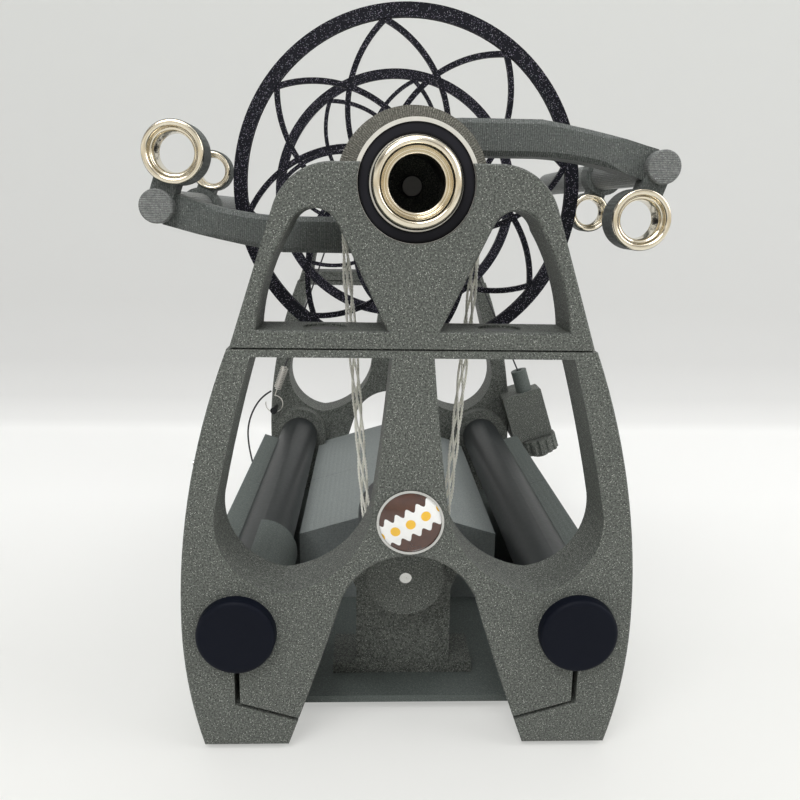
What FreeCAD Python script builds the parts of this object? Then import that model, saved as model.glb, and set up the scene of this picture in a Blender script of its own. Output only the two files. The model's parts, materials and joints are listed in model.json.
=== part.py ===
import FreeCAD, Part
import math
import os

# Electric yarn spinner: two printed frames joined by two rail tubes, a flyer and a bobbin
# that turn between them, a motor with a cord belt, and a brake on the bobbin.
# Millimetres. X is to the right, Y runs to the back, Z is up. The origin is the centre of the
# orifice on the front face of the front frame, so the flyer turns about the Y axis.

V = FreeCAD.Vector
ORIGIN = V(0, 0, 0)
AXIS_Y = V(0, 1, 0)

# ---------------------------------------------------------------- driving dimensions
AXIS_HEIGHT = 211.6       # flyer axis above the table
BODY_LENGTH = 301.0       # front face of the front frame to rear face of the rear frame
FRAME_THICK = 24.0        # each frame, along Y
FOOT_THICK = 2.0          # rubber pads under the frames
FOOT_R = 6.5
FOOT_INSET = 16.2         # rubber pads, inside the frame's foot
SEAM_DROP = 55.0          # from the axis to the joint of upper and lower frame
SEAM_RELIEF = 0.65         # shallow groove round the joint
SEAM_RELIEF_DEPTH = 1.5
EDGE_CHAMFER = 0.6
FRAME_TOP = 6.6           # flat top of the upper frame, above the axis
RUN = 0.08                # radial running clearance of shafts and collars
SEAT = 0.05               # radial clearance of pieces that are pushed together

SEAM_TUCK = 20.2          # how much narrower the lower frame is at the seam
BELLY_HALF = 84.0         # widest half width
BELLY_RISE = 49.6         # height of the widest place above the frame's bottom
FOOT_TUCK = 6.8           # how much narrower it is at the bottom
UPPER_TUCK = 0.8          # the upper frame is this much narrower at the seam
SHOULDER_TUCK = 20.3      # the sloping side would meet the flat top this far in
SHOULDER_R = 21.0
WINDOW_RIB = 3.3          # bar over the lower windows
WINDOW_SIDE_RISE = 94.6   # the window's outer and inner bends, above the frame's bottom
WINDOW_INNER_RISE = 91.6
SILL_RIB = 5.9            # bar under the upper windows

TUBE_R = 12.5             # rail tubes
TUBE_WALL = 2.0
TUBE_INSET = 20.4         # tube centre, in from the belly
TUBE_RISE = 47.7          # tube centre above the frame's bottom
CAP_R = 14.8
CAP_THICK = 5.0
BOSS_R = 18.5             # ring round each tube on the rear frame
BOSS_LENGTH = 8.0
CLAMP_SLOT = 2.0
COLLAR_R = 16.0
COLLAR_LENGTH = 48.0

BADGE_R = 12.2
BADGE_DROP = 118.2
BADGE_RECESS = 1.2
PIN_RISE = 23.0           # lower side pin, above the belly
PIN_SPACING = 37.0

BEARING_R = 21.0          # front bearing 30 x 42 x 7
BEARING_BORE_R = 15.0
BEARING_WIDTH = 7.0
BEARING_LIP = 2.0
LIP_R = 19.7
RACE = 1.4
ORIFICE_R = 9.15
ORIFICE_FLANGE_R = 15.2
ORIFICE_SLEEVE = 1.35
NECK_R = 17.0             # printed barrel behind the bearing
NECK_HOLLOW_R = 11.6
NECK_WEB = 6.0

PULLEY_GAP = 2.0          # from the front frame to the belt pulleys
PULLEY_WIDTH = 10.0
PULLEY_FLANGE_R = 27.5
PULLEY_GROOVE_R = 25.2
MOTOR_GROOVE_R = 13.1
MOTOR_FLANGE_R = 15.6
BELT_THICK = 1.6
BELT_WIDTH = 3.0
BELT_CLEAR = 0.12
MOTOR_RISE = 56.6         # motor shaft above the frame's bottom
MOTOR_R = 20.0
MOTOR_LENGTH = 55.0
MOTOR_PLATE_THICK = 5.0
MOTOR_PLATE_GAP = 5.0
MOTOR_SHAFT_R = 2.5

ARM_DEPTH = 14.0          # flyer arms, along Y
HUB_R = 24.0
BAR_R = 6.3
BAR_RADIUS = 94.5         # from the flyer axis to the centre of each bar
BAR_ANGLE = 5.2           # degrees above the X axis
BAR_STICK_OUT = 1.6        # front end of each bar, in front of the arm
BAR_INSET = 41.0          # rear end of each bar, in front of the rear frame
ARM_TOP = 24.8
ARM_BOTTOM = 11.5
ARM_EASE = 1.8            # slanted edge round the arms
ARM_TIP_CUT = 3.6         # the arm's front face falls back this far at its tip
EYE_OFFSET = 20.5         # bar centre to the centre of a fixed eyelet
EYE_RING_R = 11.6
EYE_BORE_R = 9.2
EYE_FLANGE_R = 11.4
EYE_HOLE_R = 7.0
HOOK_OFFSET = 17.6
HOOK_RING_R = 9.0
HOOK_BORE_R = 7.2
HOOK_FLANGE_R = 8.5
HOOK_HOLE_R = 5.6
HOOK_COLLAR_R = 8.8
HOOK_LENGTH = 10.0
HOOK_RIGHT_Y = 118.0
HOOK_LEFT_Y = 118.0

SHAFT_R = 4.0
REAR_BEARING_R = 11.0     # rear bearing 8 x 22 x 7
REAR_BEARING_WIDTH = 7.0

DISC_R = 71.2             # bobbin
DISC_RIM = 5.4
DISC_THICK = 3.0
DISC_HUB_R = 21.0
DISC_GAP = 14.0           # from the flyer's neck to the front disc
DISC_INSET = 56.0         # front face of the rear disc, in front of the rear frame
CORE_R = 17.0
CORE_BORE_R = 14.0
BUSH_LENGTH = 10.0
LATTICE_LINE = 2.2
LATTICE_R = 48.3          # rings that cross at the rim
LATTICE_OFFSET = 38.1
LATTICE_COUNT = 8
LATTICE_TURN_FRONT = 98.7
LATTICE_TURN_REAR = 81.5
WHORL_GROOVE_R = 29.9
WHORL_FLANGE_R = 33.0
WHORL_WIDTH = 9.0
WHORL_INSET = 13.0        # front face of the whorl, in front of the rear frame
SLEEVE_R = 12.0

WALL_GAP = 37.0           # from the side walls' rear end to the rear frame
WALL_REAR_LENGTH = 90.0
WALL_INSET = 0.6
TRAY_THICK = 3.0
TRAY_RISE = 2.1
TRAY_INSET = 8.8
COVER_GAP = 10.0          # from the motor to the cover's front end
COVER_HALF = 50.0
COVER_WALL = 2.4
COVER_EAVES = 40.3        # eaves above the frame's bottom
COVER_RIDGE = 55.1
PANEL_THICK = 3.0

KNOB_X = 13.0             # speed knob and direction switch on the rear panel
KNOB_RISE = 34.0
KNOB_R = 8.0
KNOB_LENGTH = 13.0
JACK_R = 5.6
JACK_RISE = 14.0

CORD_R = 0.6
BLOCK_WIDTH = 27.0
BLOCK_HEIGHT = 34.0
BLOCK_WALL = 1.2
BLOCK_TILT = 18.0
BLOCK_OUT = 10.8          # block's middle, out from the belly
BLOCK_OVER_BELLY = 14.2
BLOCK_BORE_OFFSET = 3.0
PLUNGER_R = 5.3
PLUNGER_OUT = 15.0
PLUNGER_IN = 16.0
SCREW_R = 3.0
BRAKE_KNOB_R = 12.8
BRAKE_KNOB_LENGTH = 10.5
SPRING_INSET = 11.4
SPRING_LENGTH = 17.0
SPRING_R = 2.7
HOOK_WIRE_R = 0.6
HOOK_BEND_R = 5.9
STEM_LENGTH = 13.4        # from the spring's coil down to the anchor pin
ANCHOR_OVER_TUBE = 18.5
ANCHOR_ASIDE = 7.8

# ---------------------------------------------------------------- derived places
FRAME_BOTTOM = FOOT_THICK - AXIS_HEIGHT
SEAM_Z = -SEAM_DROP
LOWER_TOP_HALF = BELLY_HALF - SEAM_TUCK
UPPER_FOOT_HALF = LOWER_TOP_HALF - UPPER_TUCK
SHOULDER_HALF = UPPER_FOOT_HALF - SHOULDER_TUCK
FOOT_HALF = BELLY_HALF - FOOT_TUCK
FOOT_X = FOOT_HALF - FOOT_INSET
TUBE_X = BELLY_HALF - TUBE_INSET
TRAY_HALF = BELLY_HALF - TRAY_INSET
BLOCK_X = BELLY_HALF + BLOCK_OUT
SPRING_X = SPRING_INSET - BELLY_HALF
LOWER_TOP = SEAM_Z
UPPER_BOTTOM = SEAM_Z
REAR_Y = BODY_LENGTH - FRAME_THICK
BELLY_Z = FRAME_BOTTOM + BELLY_RISE
TUBE_Z = FRAME_BOTTOM + TUBE_RISE
MOTOR_Z = FRAME_BOTTOM + MOTOR_RISE
PULLEY_START = FRAME_THICK + PULLEY_GAP
MOTOR_PLATE_Y = PULLEY_START + PULLEY_WIDTH + MOTOR_PLATE_GAP
MOTOR_END = MOTOR_PLATE_Y + MOTOR_PLATE_THICK + MOTOR_LENGTH
ARM_START = PULLEY_START + PULLEY_WIDTH
ARM_BACK = ARM_START + ARM_DEPTH
BAR_FRONT = ARM_START - BAR_STICK_OUT
BAR_END = REAR_Y - BAR_INSET
NECK_END = ARM_BACK + NECK_WEB
DISC_FRONT = NECK_END + DISC_GAP
DISC_REAR = REAR_Y - DISC_INSET
WHORL_Y = REAR_Y - WHORL_INSET
BRAKE_Y = WHORL_Y + WHORL_WIDTH / 2     # plane of the brake cord
WALL_END = REAR_Y - WALL_GAP
WALL_JOINT = WALL_END - WALL_REAR_LENGTH
COVER_START = MOTOR_END + COVER_GAP
COVER_JOINT = (COVER_START + REAR_Y) / 2
TRAY_Z = FRAME_BOTTOM + TRAY_RISE
TRAY_TOP = TRAY_Z + TRAY_THICK
BEARING_Y = BEARING_LIP + SEAT
BAR_X = BAR_RADIUS * math.cos(math.radians(BAR_ANGLE))
BAR_Z = BAR_RADIUS * math.sin(math.radians(BAR_ANGLE))
BLOCK_Z = BELLY_Z + BLOCK_OVER_BELLY
ANCHOR_X = SPRING_X - ANCHOR_ASIDE
ANCHOR_Z = TUBE_Z + ANCHOR_OVER_TUBE
SPRING_LOW_Z = ANCHOR_Z + STEM_LENGTH
SPRING_Z = SPRING_LOW_Z + SPRING_LENGTH
PIN_HEIGHTS = (BELLY_Z + PIN_RISE + PIN_SPACING, BELLY_Z + PIN_RISE)


# ---------------------------------------------------------------- helpers
def at(x, z, y=0.0):
    return V(x, y, z)


def face_from(start, steps, y=0.0):
    """Closed face in the XZ plane. A step is (point) for a line or (middle, point) for an arc."""
    edges = []
    here = start
    for step in steps:
        if isinstance(step[0], tuple):
            middle, there = step
            edges.append(Part.Arc(at(*here, y), at(*middle, y), at(*there, y)).toShape())
        else:
            there = step
            edges.append(Part.makeLine(at(*here, y), at(*there, y)))
        here = there
    if math.dist(here, start) > 1e-6:
        edges.append(Part.makeLine(at(*here, y), at(*start, y)))
    return Part.Face(Part.Wire(edges))


def prism(start, steps, y0, y1):
    return face_from(start, steps, y0).extrude(V(0, y1 - y0, 0))


def rod(radius, y0, y1, x=0.0, z=0.0):
    return Part.makeCylinder(radius, y1 - y0, V(x, y0, z), AXIS_Y)


def ring(outer, inner, y0, y1, x=0.0, z=0.0):
    return rod(outer, y0, y1, x, z).cut(rod(inner, y0 - 1, y1 + 1, x, z))


def block(x0, x1, y0, y1, z0, z1):
    return Part.makeBox(x1 - x0, y1 - y0, z1 - z0, V(x0, y0, z0))


def turned(points, x=0.0, z=0.0):
    """Solid of revolution about a line along Y. Points are (radius, y); a pair is an arc."""
    edges = []
    here = points[0]
    for step in points[1:] + [points[0]]:
        if isinstance(step[0], tuple):
            middle, there = step
            edges.append(Part.Arc(V(here[0], here[1], 0), V(middle[0], middle[1], 0),
                                  V(there[0], there[1], 0)).toShape())
        else:
            there = step
            if math.dist(here, there) > 1e-6:
                edges.append(Part.makeLine(V(here[0], here[1], 0), V(there[0], there[1], 0)))
        here = there
    shape = Part.Face(Part.Wire(edges)).revolve(ORIGIN, AXIS_Y, 360)
    shape.translate(V(x, 0, z))
    return shape


def mirrored(shape):
    return shape.mirror(ORIGIN, V(1, 0, 0))


def half_turn(shape):
    turned_shape = shape.copy()
    turned_shape.rotate(ORIGIN, AXIS_Y, 180)
    return turned_shape


def side_arc(far_half, far_z, belly_half=BELLY_HALF, belly_z=BELLY_Z):
    """Middle point of the arc that is upright at the belly and ends at (far_half, far_z)."""
    fall = abs(far_z - belly_z)
    bulge = belly_half - far_half
    radius = (fall * fall + bulge * bulge) / (2 * bulge)
    middle = belly_half - radius + math.sqrt(radius * radius - fall * fall / 4)
    return (middle, (far_z + belly_z) / 2)


def save(name, shape):
    if isinstance(shape, list):
        shape = Part.makeCompound(shape)
    shape.exportStep("parts/" + name + ".step")


# ---------------------------------------------------------------- frames
def edges_eased(shape, y0, y1):
    """Small chamfer on every edge of the front and rear faces, except along the seam."""
    picked = []
    for edge in shape.Edges:
        box = edge.BoundBox
        flat = box.YLength < 1e-6 and (abs(box.YMin - y0) < 1e-6 or abs(box.YMin - y1) < 1e-6)
        seam = abs(box.ZMin - SEAM_Z) < 1e-6 and abs(box.ZMax - SEAM_Z) < 1e-6
        if flat and not seam:
            picked.append(edge)
    return shape.makeChamfer(EDGE_CHAMFER, picked)


def lower_outline(inset=0.0):
    top = LOWER_TOP_HALF - inset
    belly = BELLY_HALF - inset
    foot = FOOT_HALF - inset
    rise = side_arc(top, LOWER_TOP, belly)
    fall = side_arc(foot, FRAME_BOTTOM, belly)
    left_rise = (-rise[0], rise[1])
    left_fall = (-fall[0], fall[1])
    return (-top, LOWER_TOP), [(top, LOWER_TOP), (rise, (belly, BELLY_Z)), (fall, (foot, FRAME_BOTTOM)),
                               (-foot, FRAME_BOTTOM), (left_fall, (-belly, BELLY_Z)),
                               (left_rise, (-top, LOWER_TOP))]


def lower_window(y0, y1):
    top = LOWER_TOP - WINDOW_RIB
    side_z = FRAME_BOTTOM + WINDOW_SIDE_RISE
    inner_z = FRAME_BOTTOM + WINDOW_INNER_RISE
    side = LOWER_TOP_HALF
    steps = [(side - 7.7, top),
             ((side + 0.1, (top + side_z) / 2), (side + 6.5, side_z)),
             ((side + 1.2, FRAME_BOTTOM + 73.6), (side - 16.6, FRAME_BOTTOM + 63.2)),
             ((28.0, FRAME_BOTTOM + 70.9), (14.2, inner_z)),
             ((10.3, (top + inner_z) / 2), (7.3, top))]
    return prism((7.3, top), steps, y0, y1)


def arch(y0, y1):
    shoulder = FRAME_BOTTOM + 61.6
    waist = FRAME_BOTTOM + 29.6
    below = FRAME_BOTTOM - 1.0
    steps = [((-34.8, waist), (-24.5, shoulder)),
             ((0.0, FRAME_BOTTOM + 77.9), (24.5, shoulder)),
             ((34.8, waist), (45.2, FRAME_BOTTOM)),
             (45.2, below), (-45.2, below)]
    return prism((-45.2, FRAME_BOTTOM), steps, y0, y1)


def clamp_slit(y0, y1):
    """Upright saw cut under a tube, then a slanting cut to the arch, so the tube can be clamped."""
    low = FRAME_BOTTOM + 17.3
    x_slit = TUBE_X + 0.6
    upright = block(x_slit - CLAMP_SLOT / 2, x_slit + CLAMP_SLOT / 2, y0, y1, low, TUBE_Z - TUBE_R + 1)
    x_end = 38.0
    z_end = low - 0.31 * (x_slit - x_end)
    slant = prism((x_slit + CLAMP_SLOT / 2, low), [(x_slit + CLAMP_SLOT / 2, low + 1.4), (x_end, z_end + 1.4),
                                                   (x_end, z_end)], y0, y1)
    return upright.fuse(slant)


def lower_frame(y0):
    y1 = y0 + FRAME_THICK
    start, steps = lower_outline()
    shape = edges_eased(prism(start, steps, y0, y1).cut(arch(y0 - 1, y1 + 1)), y0, y1)
    window = lower_window(y0 - 1, y1 + 1)
    hole = rod(TUBE_R + SEAT, y0 - 1, y1 + 1, TUBE_X, TUBE_Z)
    slit = clamp_slit(y0 - 1, y1 + 1)
    cutters = [window, mirrored(window), hole, mirrored(hole), slit, mirrored(slit)]
    for cutter in cutters:
        shape = shape.cut(cutter)
    depth = SEAM_RELIEF_DEPTH
    low = LOWER_TOP - SEAM_RELIEF
    for near, far in ((y0 - 1, y0 + depth), (y1 - depth, y1 + 1)):
        shape = shape.cut(block(-BELLY_HALF, BELLY_HALF, near, far, low, LOWER_TOP + 1))
    for side in (-1, 1):
        near, far = sorted((side * (LOWER_TOP_HALF - depth), side * BELLY_HALF))
        shape = shape.cut(block(near, far, y0 - 1, y1 + 1, low, LOWER_TOP + 1))
    return shape


def upper_blank(y0, y1):
    slope = math.atan2(UPPER_FOOT_HALF - SHOULDER_HALF, FRAME_TOP - UPPER_BOTTOM)
    turn = math.pi / 2 - slope
    reach = SHOULDER_R * math.tan(turn / 2)
    low = (SHOULDER_HALF + reach * math.sin(slope), FRAME_TOP - reach * math.cos(slope))
    high = (SHOULDER_HALF - reach, FRAME_TOP)
    half = turn / 2
    middle = (high[0] + SHOULDER_R * math.sin(half), FRAME_TOP - SHOULDER_R * (1 - math.cos(half)))
    steps = [(UPPER_FOOT_HALF, UPPER_BOTTOM), low, (middle, high), (-high[0], high[1]),
             ((-middle[0], middle[1]), (-low[0], low[1]))]
    return prism((-UPPER_FOOT_HALF, UPPER_BOTTOM), steps, y0, y1)


def upper_window(y0, y1):
    sill = SEAM_Z + SILL_RIB
    side = UPPER_FOOT_HALF
    steps = [(side - 9.0, sill), ((side - 12.7, -31.5), (side - 20.5, -15.0)), ((side - 29.0, -8.3), (side - 37.0, -13.5))]
    return prism((8.9, sill), steps, y0, y1)


def upper_frame(y0, y1):
    window = upper_window(y0 - 1, y1 + 1)
    return edges_eased(upper_blank(y0, y1).cut(window).cut(mirrored(window)), y0, y1)


MAGNET_X = 31.0
MAGNET_R = 5.0
MAGNET_THICK = 3.0
POCKET_R = 7.7
POCKET_DEPTH = 0.8
SILL_Z = SEAM_Z + SILL_RIB


def magnet_places():
    return [V(side * MAGNET_X, FRAME_THICK / 2, SILL_Z - POCKET_DEPTH) for side in (-1, 1)]


def front_upper_frame():
    shape = upper_frame(0.0, FRAME_THICK)
    seat_end = BEARING_Y + BEARING_WIDTH + SEAT
    shape = shape.cut(rod(LIP_R, -1, BEARING_LIP + 1))
    shape = shape.cut(rod(BEARING_R + SEAT, BEARING_LIP, seat_end))
    shape = shape.cut(rod(NECK_R + 1.0, seat_end - 1, FRAME_THICK + 1))
    for place in magnet_places():
        shape = shape.cut(Part.makeCylinder(POCKET_R, POCKET_DEPTH + 1, place))
        shape = shape.cut(Part.makeCylinder(MAGNET_R + SEAT, MAGNET_THICK + SEAT, place - V(0, 0, MAGNET_THICK + SEAT)))
    return shape


def frame_magnets():
    return [Part.makeCylinder(MAGNET_R, MAGNET_THICK, place - V(0, 0, MAGNET_THICK)) for place in magnet_places()]


def edge_half(z):
    """Half width of the lower frame at a height between the seam and the belly."""
    fall = LOWER_TOP - BELLY_Z
    bulge = BELLY_HALF - LOWER_TOP_HALF
    radius = (fall * fall + bulge * bulge) / (2 * bulge)
    return BELLY_HALF - radius + math.sqrt(radius * radius - (z - BELLY_Z) ** 2)


PIN_R = 0.9
PIN_OUT = 2.0
PIN_IN = 5.0


def side_pin(z, extra=0.0):
    start = V(-edge_half(z) - PIN_OUT, FRAME_THICK / 2, z)
    return Part.makeCylinder(PIN_R + extra, PIN_OUT + PIN_IN, start, V(1, 0, 0))


def front_lower_frame():
    shape = lower_frame(0.0)
    shape = shape.cut(rod(BADGE_R + SEAT, -1, BADGE_RECESS, 0, -BADGE_DROP))
    for z in PIN_HEIGHTS:
        shape = shape.cut(side_pin(z, SEAT))
    return shape


REAR_HUMP_R = REAR_BEARING_R + 6.0


def rear_upper_frame():
    shape = upper_frame(REAR_Y, BODY_LENGTH)
    shape = shape.fuse(rod(REAR_HUMP_R, REAR_Y, BODY_LENGTH))
    shape = shape.cut(rod(REAR_BEARING_R + SEAT, REAR_Y - 1, REAR_Y + REAR_BEARING_WIDTH + SEAT))
    return shape.cut(rod(SHAFT_R + 2.0, REAR_Y, BODY_LENGTH - 6.0)).removeSplitter()


ANCHOR_R = 1.2
ANCHOR_DEPTH = 6.0


def rear_lower_frame():
    shape = lower_frame(REAR_Y)
    for side in (-1, 1):
        boss = ring(BOSS_R, TUBE_R + SEAT, REAR_Y - BOSS_LENGTH, REAR_Y, side * TUBE_X, TUBE_Z)
        shape = shape.fuse(boss)
    shape = shape.cut(rod(ANCHOR_R + SEAT, REAR_Y - BOSS_LENGTH - 1, REAR_Y + ANCHOR_DEPTH, ANCHOR_X, ANCHOR_Z))
    return shape.removeSplitter()


def rubber_feet():
    pads = []
    for y in (FRAME_THICK / 2, REAR_Y + FRAME_THICK / 2):
        for side in (-1, 1):
            pads.append(Part.makeCylinder(FOOT_R, FOOT_THICK, V(side * FOOT_X, y, FRAME_BOTTOM - FOOT_THICK)))
    return pads


# ---------------------------------------------------------------- rails, caps, walls
def rail_tube(side):
    return ring(TUBE_R, TUBE_R - TUBE_WALL, 0, BODY_LENGTH, side * TUBE_X, TUBE_Z)


def rail_end_caps():
    plug = TUBE_R - TUBE_WALL - SEAT
    front = [(0, -CAP_THICK), (CAP_R - 1.8, -CAP_THICK), ((CAP_R - 0.7, -CAP_THICK + 0.5), (CAP_R - 0.2, -CAP_THICK + 1.6)),
             (CAP_R, 0), (plug, 0), (plug, 10), (0, 10)]
    caps = []
    for side in (-1, 1):
        cap = turned(front, side * TUBE_X, TUBE_Z)
        caps.append(cap)
        caps.append(cap.mirror(V(0, BODY_LENGTH / 2, 0), AXIS_Y))
    return caps


def rail_collar():
    """Half shell clipped over the inner side of the left rail, against the front frame."""
    shell = ring(COLLAR_R, TUBE_R + SEAT, FRAME_THICK, FRAME_THICK + COLLAR_LENGTH, -TUBE_X, TUBE_Z)
    keep = block(-TUBE_X, 0, 0, BODY_LENGTH, TUBE_Z - 30, TUBE_Z + 30)
    return shell.common(keep)


def side_walls(side):
    top_outer = BELLY_Z + 7.0
    top_inner = top_outer - 3.0
    belly = BELLY_HALF - WALL_INSET
    foot = FOOT_HALF - WALL_INSET
    start, outline = lower_outline(WALL_INSET)
    halves = []
    for y0, y1 in ((FRAME_THICK, WALL_JOINT - 0.1), (WALL_JOINT + 0.1, WALL_END)):
        blank = prism(start, outline, y0, y1)
        window = prism((TRAY_HALF, TRAY_Z), [(TRAY_HALF, TUBE_Z), (TUBE_X, TUBE_Z), (TUBE_X + 10.4, top_inner),
                                              (belly, top_outer), (belly + 5, top_outer), (belly + 5, TRAY_Z)],
                       y0, y1)
        wall = blank.common(window).cut(rod(TUBE_R + SEAT, y0 - 1, y1 + 1, TUBE_X, TUBE_Z))
        halves.append(wall if side > 0 else mirrored(wall))
    return halves


def base_tray():
    return block(-TRAY_HALF, TRAY_HALF, FRAME_THICK, REAR_Y, TRAY_Z, TRAY_TOP)


# ---------------------------------------------------------------- electronics housing
def gable(inset, y0, y1, bottom=None):
    half = COVER_HALF - inset
    eaves = FRAME_BOTTOM + COVER_EAVES - inset
    ridge = FRAME_BOTTOM + COVER_RIDGE - inset
    base = TRAY_TOP if bottom is None else bottom
    return prism((-half, base), [(-half, eaves), (0, ridge), (half, eaves), (half, base)], y0, y1)


def cover_front():
    y1 = COVER_JOINT - 0.1
    return gable(0, COVER_START, y1).cut(gable(COVER_WALL, COVER_START + COVER_WALL, y1 + 1, TRAY_TOP - 1))


def cover_rear():
    y0 = COVER_JOINT + 0.1
    shell = gable(0, y0, REAR_Y).cut(gable(COVER_WALL, y0 - 1, REAR_Y + 1, TRAY_TOP - 1))
    for side in (-1, 1):
        shell = shell.cut(rod(BOSS_R + 0.4, REAR_Y - BOSS_LENGTH - 0.4, REAR_Y + 1, side * TUBE_X, TUBE_Z))
    return shell


KNOB_Z = FRAME_BOTTOM + KNOB_RISE
JACK_Z = FRAME_BOTTOM + JACK_RISE
PANEL_Y = REAR_Y - PANEL_THICK
SWITCH_HALF_X = 6.5
SWITCH_HALF_Z = 9.5
SPINDLE_R = 3.0


def control_panel():
    panel = gable(COVER_WALL + SEAT, PANEL_Y, REAR_Y, TRAY_TOP)
    for side in (-1, 1):
        panel = panel.cut(rod(BOSS_R + 0.4, PANEL_Y - 1, REAR_Y + 1, side * TUBE_X, TUBE_Z))
    panel = panel.cut(rod(SPINDLE_R + RUN, PANEL_Y - 1, REAR_Y + 1, -KNOB_X, KNOB_Z))
    panel = panel.cut(rod(JACK_R + SEAT, PANEL_Y - 1, REAR_Y + 1, 0, JACK_Z))
    return panel.cut(block(KNOB_X - SWITCH_HALF_X, KNOB_X + SWITCH_HALF_X, PANEL_Y - 1, REAR_Y + 1,
                           KNOB_Z - SWITCH_HALF_Z, KNOB_Z + SWITCH_HALF_Z))


def speed_knob():
    knob = rod(KNOB_R, REAR_Y + 0.6, REAR_Y + KNOB_LENGTH, -KNOB_X, KNOB_Z)
    for i in range(12):
        angle = math.radians(30 * i + 15)
        knob = knob.cut(rod(0.9, REAR_Y + 2.5, REAR_Y + KNOB_LENGTH + 1, -KNOB_X + (KNOB_R + 0.3) * math.cos(angle),
                            KNOB_Z + (KNOB_R + 0.3) * math.sin(angle)))
    pointer = block(-KNOB_X - 0.5, -KNOB_X + 0.5, REAR_Y + KNOB_LENGTH, REAR_Y + KNOB_LENGTH + 0.5,
                    KNOB_Z + 1.0, KNOB_Z + KNOB_R - 0.8)
    spindle = rod(SPINDLE_R, PANEL_Y - 8.0, REAR_Y + 0.6, -KNOB_X, KNOB_Z)
    return knob.fuse([pointer, spindle]).removeSplitter()


ROCKER_HALF = 7.2
ROCKER_PIVOT_Y = REAR_Y - 2.0
ROCKER_PIN_R = 0.9


def rocker_pin(radius):
    return Part.makeCylinder(radius, 12.0, V(KNOB_X - 6.0, ROCKER_PIVOT_Y, KNOB_Z), V(1, 0, 0))


def switch_housing():
    body = block(KNOB_X - SWITCH_HALF_X + SEAT, KNOB_X + SWITCH_HALF_X - SEAT, PANEL_Y - 10, REAR_Y,
                 KNOB_Z - SWITCH_HALF_Z + SEAT, KNOB_Z + SWITCH_HALF_Z - SEAT)
    bezel = block(KNOB_X - SWITCH_HALF_X - 1.2, KNOB_X + SWITCH_HALF_X + 1.2, REAR_Y, REAR_Y + 1.6,
                  KNOB_Z - SWITCH_HALF_Z - 1.2, KNOB_Z + SWITCH_HALF_Z + 1.2)
    well = block(KNOB_X - 5.0, KNOB_X + 5.0, PANEL_Y - 6, REAR_Y + 2, KNOB_Z - 8.0, KNOB_Z + 8.0)
    return body.fuse(bezel).removeSplitter().cut(well).cut(rocker_pin(ROCKER_PIN_R + RUN))


def direction_rocker():
    """Rocker with two flats that meet at a shallow valley, on a pivot along X."""
    profile = [V(0, REAR_Y - 4.5, KNOB_Z - ROCKER_HALF), V(0, REAR_Y + 2.6, KNOB_Z - ROCKER_HALF),
               V(0, REAR_Y + 1.3, KNOB_Z), V(0, REAR_Y + 2.6, KNOB_Z + ROCKER_HALF),
               V(0, REAR_Y - 4.5, KNOB_Z + ROCKER_HALF)]
    rocker = Part.Face(Part.makePolygon(profile + [profile[0]])).extrude(V(9.4, 0, 0))
    rocker.translate(V(KNOB_X - 4.7, 0, 0))
    keep = Part.makeCylinder(ROCKER_HALF + 0.2, 9.4, V(KNOB_X - 4.7, ROCKER_PIVOT_Y, KNOB_Z), V(1, 0, 0))
    return rocker.common(keep).fuse(rocker_pin(ROCKER_PIN_R)).removeSplitter()


def dc_jack():
    sleeve = ring(JACK_R, 2.9, PANEL_Y - 8, REAR_Y, 0, JACK_Z)
    flange = ring(JACK_R + 1.4, 2.9, REAR_Y, REAR_Y + 1.5, 0, JACK_Z)
    pin = rod(1.0, PANEL_Y - 8, REAR_Y - 1, 0, JACK_Z)
    back = rod(JACK_R, PANEL_Y - 10, PANEL_Y - 8, 0, JACK_Z)
    return sleeve.fuse([flange, pin, back]).removeSplitter()


BOARD_HALF = COVER_HALF - 14.0
BOARD_GAP = 14.0
BOARD_REAR_GAP = 37.0
BOARD_THICK = 1.6
POST_HEIGHT = 4.0
POST_R = 2.5
POST_INSET = 4.0
SINK_SIZE = 28.0
SINK_HEIGHT = 9.4
CAPACITOR_R = 5.0
CAPACITOR_HEIGHT = 14.0


def control_board():
    y0 = COVER_START + BOARD_GAP
    y1 = REAR_Y - BOARD_REAR_GAP
    z0 = TRAY_TOP + POST_HEIGHT
    z1 = z0 + BOARD_THICK
    board = block(-BOARD_HALF, BOARD_HALF, y0, y1, z0, z1)
    sink = block(-SINK_SIZE / 2, SINK_SIZE / 2, y0 + 10, y0 + 10 + SINK_SIZE, z1, z1 + SINK_HEIGHT)
    capacitor = Part.makeCylinder(CAPACITOR_R, CAPACITOR_HEIGHT, V(SINK_SIZE / 2 + 10, y0 + 20, z1))
    shapes = [sink, capacitor]
    for x in (-BOARD_HALF + POST_INSET, BOARD_HALF - POST_INSET):
        for y in (y0 + POST_INSET, y1 - POST_INSET):
            shapes.append(Part.makeCylinder(POST_R, POST_HEIGHT, V(x, y, TRAY_TOP)))
    return board.fuse(shapes).removeSplitter()


# ---------------------------------------------------------------- motor and belt
MOUNT_FOOT_LENGTH = 24.0
SCREW_CIRCLE_R = 12.5


def motor_mount():
    y0 = MOTOR_PLATE_Y
    y1 = y0 + MOTOR_PLATE_THICK
    disc = rod(MOTOR_R + 3.0, y0, y1, 0, MOTOR_Z)
    leg = block(-MOTOR_R, MOTOR_R, y0, y1, TRAY_TOP, MOTOR_Z)
    foot_half = 1.5 * MOTOR_R
    foot = block(-foot_half, foot_half, y0, y0 + MOUNT_FOOT_LENGTH, TRAY_TOP, TRAY_TOP + MOTOR_PLATE_THICK)
    shape = disc.fuse([leg, foot]).removeSplitter().cut(rod(7.0, y0 - 1, y1 + 1, 0, MOTOR_Z))
    for x, z in motor_screw_places():
        shape = shape.cut(rod(1.6, y0 - 1, y1 + 1, x, z))
    return shape


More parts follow.
